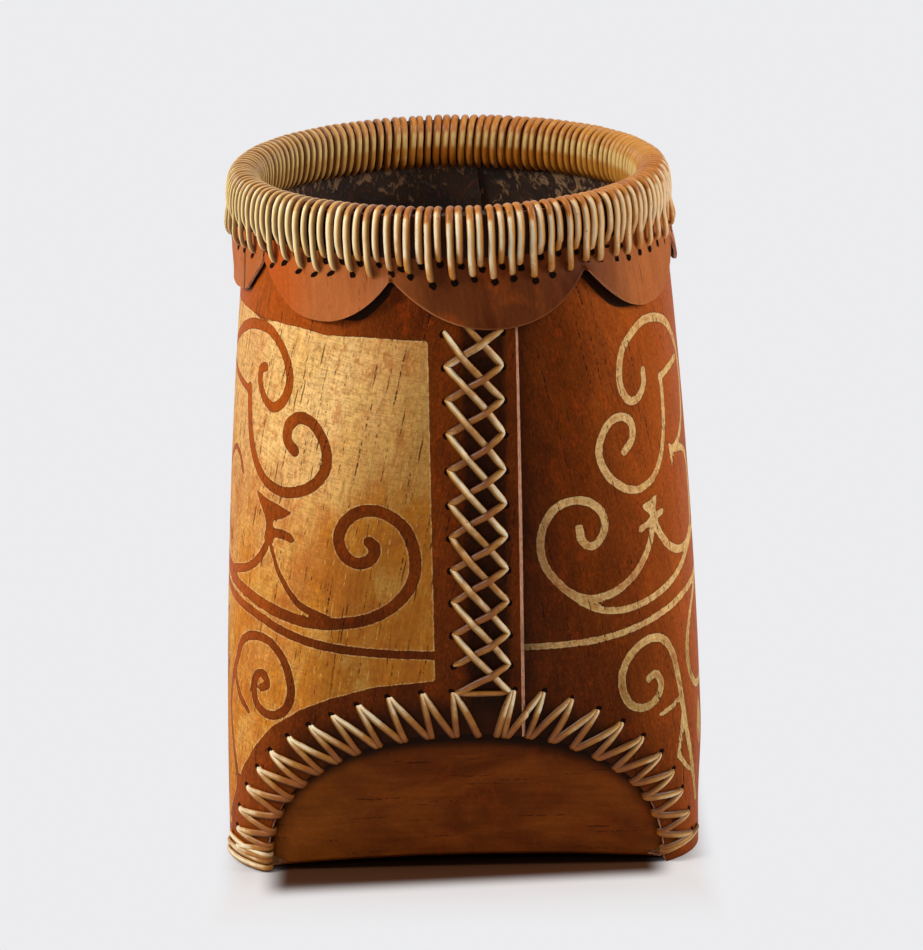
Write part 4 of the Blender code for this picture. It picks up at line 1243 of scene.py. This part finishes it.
# %% [markdown]
# ## The rim lashing
#
# Two split withes, one outside and one inside, clamp the bark at the rim, and root is wound over all of it
# side by side, through holes that step up and down so that the bark doesn't tear along one line. There are
# 138 wraps, in six lengths of root, each with its own lean, width and colour.

# %% The wraps
WRAPS, LENGTHS = 138, 6
INNER_HOOP = 76.26
rim_spots = []


def rim_wrap(number):
    """One wrap: up from its outer hole, over the rim, and down inside to its inner hole."""
    step = 2.0 * math.pi / WRAPS
    middle = -math.pi / LENGTHS + (number + 0.5) * step
    low = (238.8 if number % 2 else 244.8) + CHANCE.normal(0.0, 1.0)
    lean = CHANCE.normal(0.0, 0.05) * step
    skew = CHANCE.normal(0.0, 0.09) * step
    half = 1.44 + CHANCE.normal(0.0, 0.06)
    round_arc = (middle / (2.0 * math.pi) * 4.0) * float(quarter(low))
    low = max(low, float(collar_edge(collar_share(round_arc, low))) + 4.8)
    stand = float(collar_stand(round_arc, low))
    skin = float(half_width(low)) + CLEAR + COLLAR_BARK + stand
    inner = INNER_HOOP
    route = [
        (skin - 1.3, low - 0.7), (skin + 0.4, low + 0.1), (max(skin + 1.2, 86.0), low + 2.2), (87.0, 250.0),
        (87.2, 253.6), (86.8, 257.4), (85.8, 260.6), (84.0, 262.8), (81.2, 263.5), (inner + 2.4, 262.8),
        (inner + 0.2, 260.8), (inner - 0.9, 257.2), (inner - 0.95, 252.5), (inner - 0.3, 248.4),
        (inner + 1.2, 245.4), (inner + 3.6, 243.2),
    ]
    route = smooth_curve(route, 1.05)
    share = np.linspace(0.0, 1.0, len(route))
    drift = lean * np.sin(math.pi * share) + skew * (1.0 - share) + 0.5 * step * smooth((share - 0.4) / 0.5)
    angle = middle + drift
    r, z = route[:, 0], route[:, 1]
    path = np.stack([np.sin(angle) * r, -np.cos(angle) * r, z], axis=1)
    turn = unit(np.gradient(route, axis=0))
    away = np.stack([np.sin(angle) * turn[:, 1], -np.cos(angle) * turn[:, 1], -turn[:, 0]], axis=1)
    swell = 1.0 + 0.05 * np.sin(share * 5.0 + number)
    swell = swell - 0.2 * smooth((0.05 - share) / 0.05) - 0.3 * smooth((share - 0.92) / 0.08)
    tight = 1.0 + 0.12 * smooth((share - 0.4) / 0.2)
    warm = 0.6 - 0.55 * smooth(share / 0.27) + 0.85 * smooth((share - 0.4) / 0.05)
    warm = warm - 0.08 * smooth((share - 0.5) / 0.2)
    hole = round_arc + (angle[0] - middle) * float(half_width(low)) + 0.3
    size = 1.4 * CHANCE.uniform(0.9, 1.1)
    rim_spots.append((hole, low - 2.2, CLEAR + COLLAR_BARK + stand + 0.16, size, size, CHANCE.uniform(-0.5, 0.5)))
    return path, away, half * swell * tight, 1.25 * swell, CHANCE.random(), warm


for length in range(LENGTHS):
    wraps = [rim_wrap(length * WRAPS // LENGTHS + wrap) for wrap in range(WRAPS // LENGTHS)]
    piece = sweep(f"rim_lashing_{length + 1}", wraps, RIM_ROOT)
    lean_rim(piece)
    settle(piece, f"rim_root_{length + 1}")
print("wraps round the rim:", WRAPS)

# %% The holes of the rim
piece = make_holes("rim_awl_holes", rim_spots)
lean_rim(piece)
settle(piece)
print("holes under the rim:", len(rim_spots))

# %% [markdown]
# ## The withes of the rim
#
# The two hoops are almost hidden. They are split wood with long grain that runs round the hoop, coloured
# near black in painted shade, as they show only in the gaps between the wraps. The outer one was whittled thin
# towards its lower edge, so that the wraps run straight down from the rim to their holes. Each is made as a
# ring of its own section and leans with the rim.

# %% The finish of the withes


def withe_finish():
    made, tree = new_material("split withe of the rim")
    grain = noise(scaled(object_place(tree), 60.0, 60.0, 1500.0), 5.0, 0.6)
    withe_mottle = noise(scaled(object_place(tree), 35.0, 35.0, 35.0), 3.0, 0.5)
    # Painted shade: the withe is near black, with a darker mottle, as it shows only in the gaps between the wraps.
    colour = paint(
        blend(ramp(grain, 0.3, 0.7), tone(58, 24, 8), tone(34, 13, 5)),
        (ramp(withe_mottle, 0.45, 0.65, 0.0, 0.6), (24, 10, 4)),
    )
    rough = ramp(grain, 0.3, 0.7, 0.55, 0.7)
    return finish_surface(made, colour, rough, grain, 0.5, 0.2, Specular_IOR_Level=0.1)


WITHE = withe_finish()

# %% The withes as meshes
INNER_SECTION = [(80.2, 246.0), (80.2, 260.6), (79.4, 261.7), (78.0, 261.7), (76.9, 260.7), (76.4, 258.6),
                 (76.3, 252.0), (76.6, 247.2), (77.6, 246.0)]
OUTER_SECTION = [(85.0, 245.6), (85.5, 247.2), (85.9, 250.0), (86.0, 253.4), (85.8, 257.0), (85.4, 260.2),
                 (84.95, 261.8), (84.95, 256.0), (84.95, 250.0)]


def make_hoop(name, section, around=240):
    """A ring from a closed section of radius and height, listed up the outside and down the inside."""
    section = np.asarray(section, float)
    angle = 2.0 * math.pi * np.arange(around)[:, None] / around
    waver = 1.0 + 0.0012 * np.sin(5.0 * angle + 1.0)
    r, z = section[:, 0] * waver, section[:, 1] + 0.0 * angle
    points = np.stack([np.sin(angle) * r, -np.cos(angle) * r, z], axis=-1).reshape(-1, 3)
    index = np.arange(around * len(section)).reshape(around, len(section))
    after = np.roll(index, -1, axis=0)
    faces = np.stack([index, after, np.roll(after, -1, axis=1), np.roll(index, -1, axis=1)], axis=-1)
    return add_piece(name, points, faces.reshape(-1, 4), [WITHE])


hoops = (("outer_rim_withe", OUTER_SECTION, "outer_hoop"), ("inner_rim_withe", INNER_SECTION, "inner_hoop"))
for name, section, node in hoops:
    piece = make_hoop(name, section)
    lean_rim(piece)
    settle(piece, node)
    print("faces in the", node, "ring:", len(piece.data.polygons))

# %% [markdown]
# ## The seam lacing
#
# One root laces the seam in crosses. Each long slant goes down to the right over the first strand it meets
# and under the second, and each short slant comes back to the left in the same way. A strand's height over
# the bark is therefore a small wave, high at one third of its way and low at two thirds.

# %% The crosses
LEVELS = [217.0, 204.0, 191.0, 178.0, 163.8, 150.5, 137.5, 124.5, 111.5, 98.5, 86.0, 74.4]
SEAM_LEFT, SEAM_RIGHT = (-4.7, -3.2), (16.7, 17.8)


def surface(arc):
    """How far the outermost bark lies behind the skin: the wing under the seam steps in."""
    arc = np.asarray(arc)
    under = -(BARK + CLEAR) * (1.0 - smooth((arc - (OVER_EDGE + STEP_REST)) / STEP_RUN))
    return np.where(arc > OVER_EDGE, under, 0.0)


def over_bark(flat, level):
    """A path at some height over the bark, from places on the flat sheet, and the direction outward from it."""
    out = surface(flat[:, 0]) + level
    path = on_skin(flat[:, 0], flat[:, 1], out)
    return path, on_skin(flat[:, 0], flat[:, 1], out + 1.0) - path


def hole_place(side, level):
    share = level / (len(LEVELS) - 1)
    first, last = SEAM_LEFT if side == "left" else SEAM_RIGHT
    return np.array([first + (last - first) * share, LEVELS[level]])


def bark_strand(start, stop, heights, half, high, warm, bow=0.0):
    """A strand over the bark: places from start to stop, with its height over the bark at even shares."""
    run = np.asarray(stop, float) - np.asarray(start, float)
    length = float(np.linalg.norm(run))
    count = max(12, int(length / 0.9))
    share = np.linspace(0.0, 1.0, count)
    flat = np.asarray(start) + run * share[:, None]
    flat = flat + np.array([-run[1], run[0]]) / length * (bow * np.sin(math.pi * share))[:, None]
    knots = np.linspace(0.0, 1.0, len(heights))
    rise = smooth_curve(np.stack([knots * length, heights], axis=1), 0.3)
    level = np.interp(share * length, rise[:, 0], rise[:, 1])
    path, away = over_bark(flat, level)
    ends = 1.0 - 0.22 * smooth((0.1 - share) / 0.1) - 0.22 * smooth((share - 0.9) / 0.1)
    swell = (1.0 + 0.05 * np.sin(share * 7.0 + start[1])) * ends
    tint = CHANCE.random()
    glow = np.interp(share, np.linspace(0.0, 1.0, len(warm)), warm)
    return path, away, half * swell, high * np.ones(count), tint, glow


LOW, HIGH, SUNK = 0.7, 2.6, -0.9
OVER_UNDER = (SUNK, LOW + 0.25, 1.5, HIGH, 1.9, 1.1, LOW, LOW, LOW, SUNK)
LAST_CROSS = (SUNK, LOW + 0.2, 1.5, HIGH, 1.9, 1.2, LOW + 0.3, LOW + 0.2, LOW, SUNK)
CROSSES = 10
seam = []
for level in range(CROSSES):
    start, stop, warm = hole_place("left", level), hole_place("right", level + 2), (0.15, 0.55, 0.55, 0.25)
    seam.append(bark_strand(start, stop, OVER_UNDER, 1.45, 1.35, warm, CHANCE.normal(0.0, 0.35)))
    start, stop, warm = hole_place("right", level + 1), hole_place("left", level + 2), (0.25, 0.9, 0.85, 0.6)
    heights = OVER_UNDER if level < CROSSES - 1 else LAST_CROSS
    seam.append(bark_strand(start, stop, heights, 1.4, 1.3, warm, CHANCE.normal(0.0, 0.3)))
for start, stop, heights, half, high, warm in (
    ((1.5, 222.0), hole_place("right", 1), (-0.6, 0.0, 0.5, 0.5, LOW, LOW, SUNK), 1.5, 1.3, (0.6, 0.5, 0.3)),
    ((17.0, 218.0), hole_place("left", 1), (0.2, 0.9, 1.6, HIGH, 1.6, LOW, LOW, SUNK), 1.5, 1.3, (0.5, 0.5, 0.4)),
    (hole_place("left", 11), hole_place("right", 11), (SUNK, LOW, 0.8, LOW, LOW, SUNK), 1.2, 1.0, (0.5, 0.9, 0.8)),
):
    seam.append(bark_strand(start, stop, heights, half, high, warm))
front = sweep("front_seam_lacing", seam, SEAM_ROOT)
settle(front, "front_seam_root")
settle(half_turned(front, "back_seam_lacing"), "back_seam_root")
seam_spots = []
for level in range(len(LEVELS)):
    for side, shift in (("left", -0.5), ("right", 0.5)):
        arc, z = hole_place(side, level)
        seam_spots.append((arc + shift, z - 0.6, 0.13, 1.3, 1.5, CHANCE.uniform(-0.4, 0.4)))
front_holes = make_holes("front_seam_holes", seam_spots)
settle(front_holes)
settle(half_turned(front_holes, "back_seam_holes"))
print("strands over each seam:", len(seam))

# %% [markdown]
# ## The stitches of the arch
#
# The arched edge is whipped to the flap behind it. From each hole one strand drops square over the edge and
# one slants towards the middle, and both turn in under the edge. At the feet they lie almost level.

# %% The whip stitches
ARCH_HOLES = [
    (-96.5, 6.5), (-96.0, 13.5), (-94.5, 22.0), (-89.5, 32.0), (-83.5, 41.0), (-77.0, 49.0), (-69.0, 56.0),
    (-60.0, 61.5), (-51.0, 66.0), (-41.0, 70.0), (-29.0, 73.0), (-16.0, 74.3), (-4.0, 74.6), (19.0, 75.0),
    (30.5, 73.3), (41.5, 70.6), (51.5, 66.2), (61.0, 60.3), (69.5, 53.3), (77.5, 45.0), (84.0, 36.5),
    (89.5, 27.0), (94.5, 16.5), (96.5, 7.5),
]


def edge_under(arc, z):
    """The place on the arched edge that a hole looks down to."""
    up = (z / HOLES_HIGH) ** (ARCH_POWER / 2)
    over = (abs(arc) / HOLES_WIDE) ** (ARCH_POWER / 2)
    angle = math.atan2(up, over)
    x = ARCH_WIDE * math.cos(angle) ** (2 / ARCH_POWER) * math.copysign(1.0, arc)
    high = ARCH_HIGH * math.sin(angle) ** (2 / ARCH_POWER)
    return np.array([float(arc_of(x, high)), high])


def arch_stitch(start, edge, warm, half):
    """From a hole over the bark, round the edge and in behind it."""
    start, edge = np.asarray(start, float), np.asarray(edge, float)
    run = edge - start
    length = float(np.linalg.norm(run))
    ahead = run / length
    lead = smooth_curve([(0.0, -1.0), (0.7, 0.1), (1.9, 0.6), (0.35 * length, 0.75), (0.7 * length, 0.62),
                         (length - 0.6, 0.5), (length + 0.7, -0.2), (length + 1.0, -1.4),
                         (length + 0.3, -2.9)], 0.7)
    flat = start + ahead * lead[:, :1]
    bow = np.sin(math.pi * np.clip(lead[:, 0] / length, 0.0, 1.0)) * CHANCE.normal(0.0, 0.25)
    flat = flat + np.array([-ahead[1], ahead[0]]) * bow[:, None]
    path, outward = over_bark(flat, lead[:, 1])
    along = on_skin(flat[:, 0] + ahead[0], flat[:, 1] + ahead[1], surface(flat[:, 0]) + lead[:, 1]) - path
    turn = unit(np.gradient(lead, axis=0))
    away = outward * turn[:, :1] - along * turn[:, 1:]
    share = np.linspace(0.0, 1.0, len(lead))
    swell = 0.72 + 0.28 * smooth(share / 0.35) - 0.1 * smooth((share - 0.85) / 0.15)
    glow = np.interp(share, (0.0, 0.35, 0.7, 1.0), warm)
    return path, away, half * swell, 0.85 * np.ones(len(share)), CHANCE.random(), glow


TOP_LEFT, TOP_RIGHT = -4.0, 19.0
TOP_SLANTS = {TOP_LEFT: (5.0, 57.3), TOP_RIGHT: (12.5, 57.2)}
FOOT_WRAPS = ((-108.0, 1.3, 0.4), (-107.0, 4.1, 1.2), (-104.0, 6.6, 2.6), (104.0, 4.4, 3.4))
square, slanting = [], []
edges = [edge_under(*spot) for spot in ARCH_HOLES]
for index, (arc, z) in enumerate(ARCH_HOLES):
    onward = 1 if arc < 7 else -1
    straight = edges[index]
    slant_to = TOP_SLANTS[arc] if arc in TOP_SLANTS else edges[index + onward] * 0.84 + straight * 0.16
    shift = 0.42 * onward
    # The tints of these stitches and of the foot wraps run from pale tips to warm, dark ends: painted light on the
    # tips and painted shade where a stitch dips under the edge.
    square.append(arch_stitch((arc - shift, z), straight, (0.0, 0.5, 1.0, 1.2), 1.32))
    slanting.append(arch_stitch((arc + shift, z), slant_to, (0.0, 0.4, 0.9, 1.1), 1.45))
for reach, low, tilt in FOOT_WRAPS:
    square.append(arch_stitch((reach, low + tilt), (math.copysign(79.2, reach), low), (0.5, 0.15, 0.3, 0.9), 1.36))
spots = [(arc + (-0.8 if arc < 7 else 0.8), z + 0.8, float(surface(arc)) + 0.13, 1.15, 1.05, 0.0)
         for arc, z in ARCH_HOLES]
pairs = ((sweep("front_arch_stitches", square, SEAM_ROOT), "arch_stitches", "arch_root"),
         (sweep("front_slant_stitches", slanting, SEAM_ROOT), "slant_stitches", "slant_root"))
front_holes = make_holes("front_arch_holes", spots)
for front, label, node in pairs:
    settle(front, f"front_{node}")
    settle(half_turned(front, f"back_{label}"), f"back_{node}")
settle(front_holes)
settle(half_turned(front_holes, "back_arch_holes"))
print("stitches round each arch:", len(square) + len(slanting))

# %% [markdown]
# ## Floor, light and camera
#
# A pale floor catches the soft shadow of the basket, and the dark band under the front fold is partly
# painted on it. Two soft lamps stand left and right, the left one stronger, so that both sides glow and the
# middle falls into shade. A weak lamp in front opens that shade, and a wide one above lights the floor. The
# floor fades to an even pale tone away from the basket, so no horizon shows.

# %% The floor
BACKDROP = tone(236, 236, 238)


def seen_rays(tree):
    """One for rays that look at the backdrop, straight or through a reflection, and none for its light."""
    path = put(tree, "ShaderNodeLightPath")
    seen = calc("MAXIMUM", path["Is Camera Ray"], path["Is Transmission Ray"])
    return calc("MAXIMUM", seen, path["Is Glossy Ray"])


def mix_to_output(tree, share, first, second, output):
    both = put(tree, "ShaderNodeMixShader", i0=share, i1=first, i2=second)
    feed(tree.nodes[output].inputs["Surface"], both[0])


def floor_finish():
    made, tree = new_material("pale paper floor")
    shader = tree.nodes["Principled BSDF"]
    place = object_place(tree)
    x, y, _ = split(place)
    sideways, ahead = calc("ABSOLUTE", x), calc("ABSOLUTE", y)
    fibre = noise(scaled(place, 40.0, 40.0, 40.0), 3.0, 0.5)
    reach = calc("MULTIPLY_ADD", x * y, -0.7, ahead)
    contact = ramp(reach, 0.113, 0.099) * ramp(sideways, 0.083, 0.07, 0.0, 0.99) * ramp(y, -0.01, -0.03)
    colour = paint(blend(fibre, tone(232, 231, 233), tone(236, 235, 237)), (contact, (70, 38, 14)))
    for key, value in (("Roughness", 0.9), ("Specular IOR Level", 0.0), ("Base Color", colour)):
        feed(shader.inputs[key], value)
    far = calc("MAXIMUM", ramp(sideways, 0.086, 0.1), ramp(ahead, 0.1, 0.15))
    glow = put(tree, "ShaderNodeEmission", Color=BACKDROP, Strength=1.0)
    mix_to_output(tree, seen_rays(tree) * far, Outputs(tree, shader)[0], glow[0], "Material Output")
    return made


FLOOR_REACH, FLOOR_LINES, FLOOR_DROP = 6.0, 25, 0.0003
mesh = bpy.data.meshes.new("pale_floor")
steps = np.linspace(-FLOOR_REACH, FLOOR_REACH, FLOOR_LINES)
corners = [row * FLOOR_LINES + column for row in range(FLOOR_LINES - 1) for column in range(FLOOR_LINES - 1)]
mesh.from_pydata([(x, y, 0.0) for y in steps for x in steps], [],
                 [(corner, corner + 1, corner + 1 + FLOOR_LINES, corner + FLOOR_LINES) for corner in corners])
mesh.materials.append(floor_finish())
floor = show("pale_floor", mesh)
floor.location.z = -FLOOR_DROP
print("floor laid")

# %% The lamps and the world
LIT_SPOT = Vector((0.0, 0.0, 0.14))


def lamp(name, place, size, power, colour):
    light = bpy.data.lights.new(name, "AREA")
    light.shape = "RECTANGLE"
    light.size, light.size_y = size
    light.energy = power
    light.color = colour
    made = show(name, light)
    made.location = place
    made.rotation_euler = (LIT_SPOT - Vector(place)).to_track_quat("-Z", "Y").to_euler()


lamp("left_softbox", (-0.81, -0.27, 0.82), (0.32, 0.5), 9.5, (1.0, 0.97, 0.93))
lamp("right_softbox", (0.86, -0.13, 0.7), (0.26, 0.5), 5.8, (1.0, 0.98, 0.96))
lamp("top_softbox", (0.12, 0.3, 1.2), (1.3, 1.0), 2.2, (1.0, 1.0, 1.0))
lamp("front_fill", (-0.15, -1.3, 0.95), (0.5, 0.5), 1.5, (1.0, 0.98, 0.96))

world = bpy.data.worlds.new("even_sky")
world.use_nodes = True
sky = world.node_tree
even = put(sky, "ShaderNodeBackground", Color=(1.0, 1.0, 1.0, 1.0), Strength=0.07)
pale = put(sky, "ShaderNodeBackground", Color=BACKDROP, Strength=1.0)
mix_to_output(sky, seen_rays(sky), even[0], pale[0], "World Output")
bpy.context.scene.world = world
bpy.context.scene.view_settings.view_transform = "Standard"

# %% The camera
DISTANCE, LOOK_DOWN, ROLL = 1.4, math.radians(17.9), math.radians(1.14)
AIM = Vector((0.0008, 0.0, 0.1326))
lens = bpy.data.cameras.new("camera")
lens.lens, lens.sensor_width = 130.2, 36.0
camera = show("camera", lens)
camera.location = (0.0, -DISTANCE * math.cos(LOOK_DOWN), 0.137 + DISTANCE * math.sin(LOOK_DOWN))
look = (AIM - camera.location).to_track_quat("-Z", "Y").to_matrix().to_4x4() @ Matrix.Rotation(-ROLL, 4, "Z")
camera.rotation_euler = look.to_euler()
bpy.context.scene.camera = camera
print("camera looks down", round(math.degrees(LOOK_DOWN), 1), "degrees")
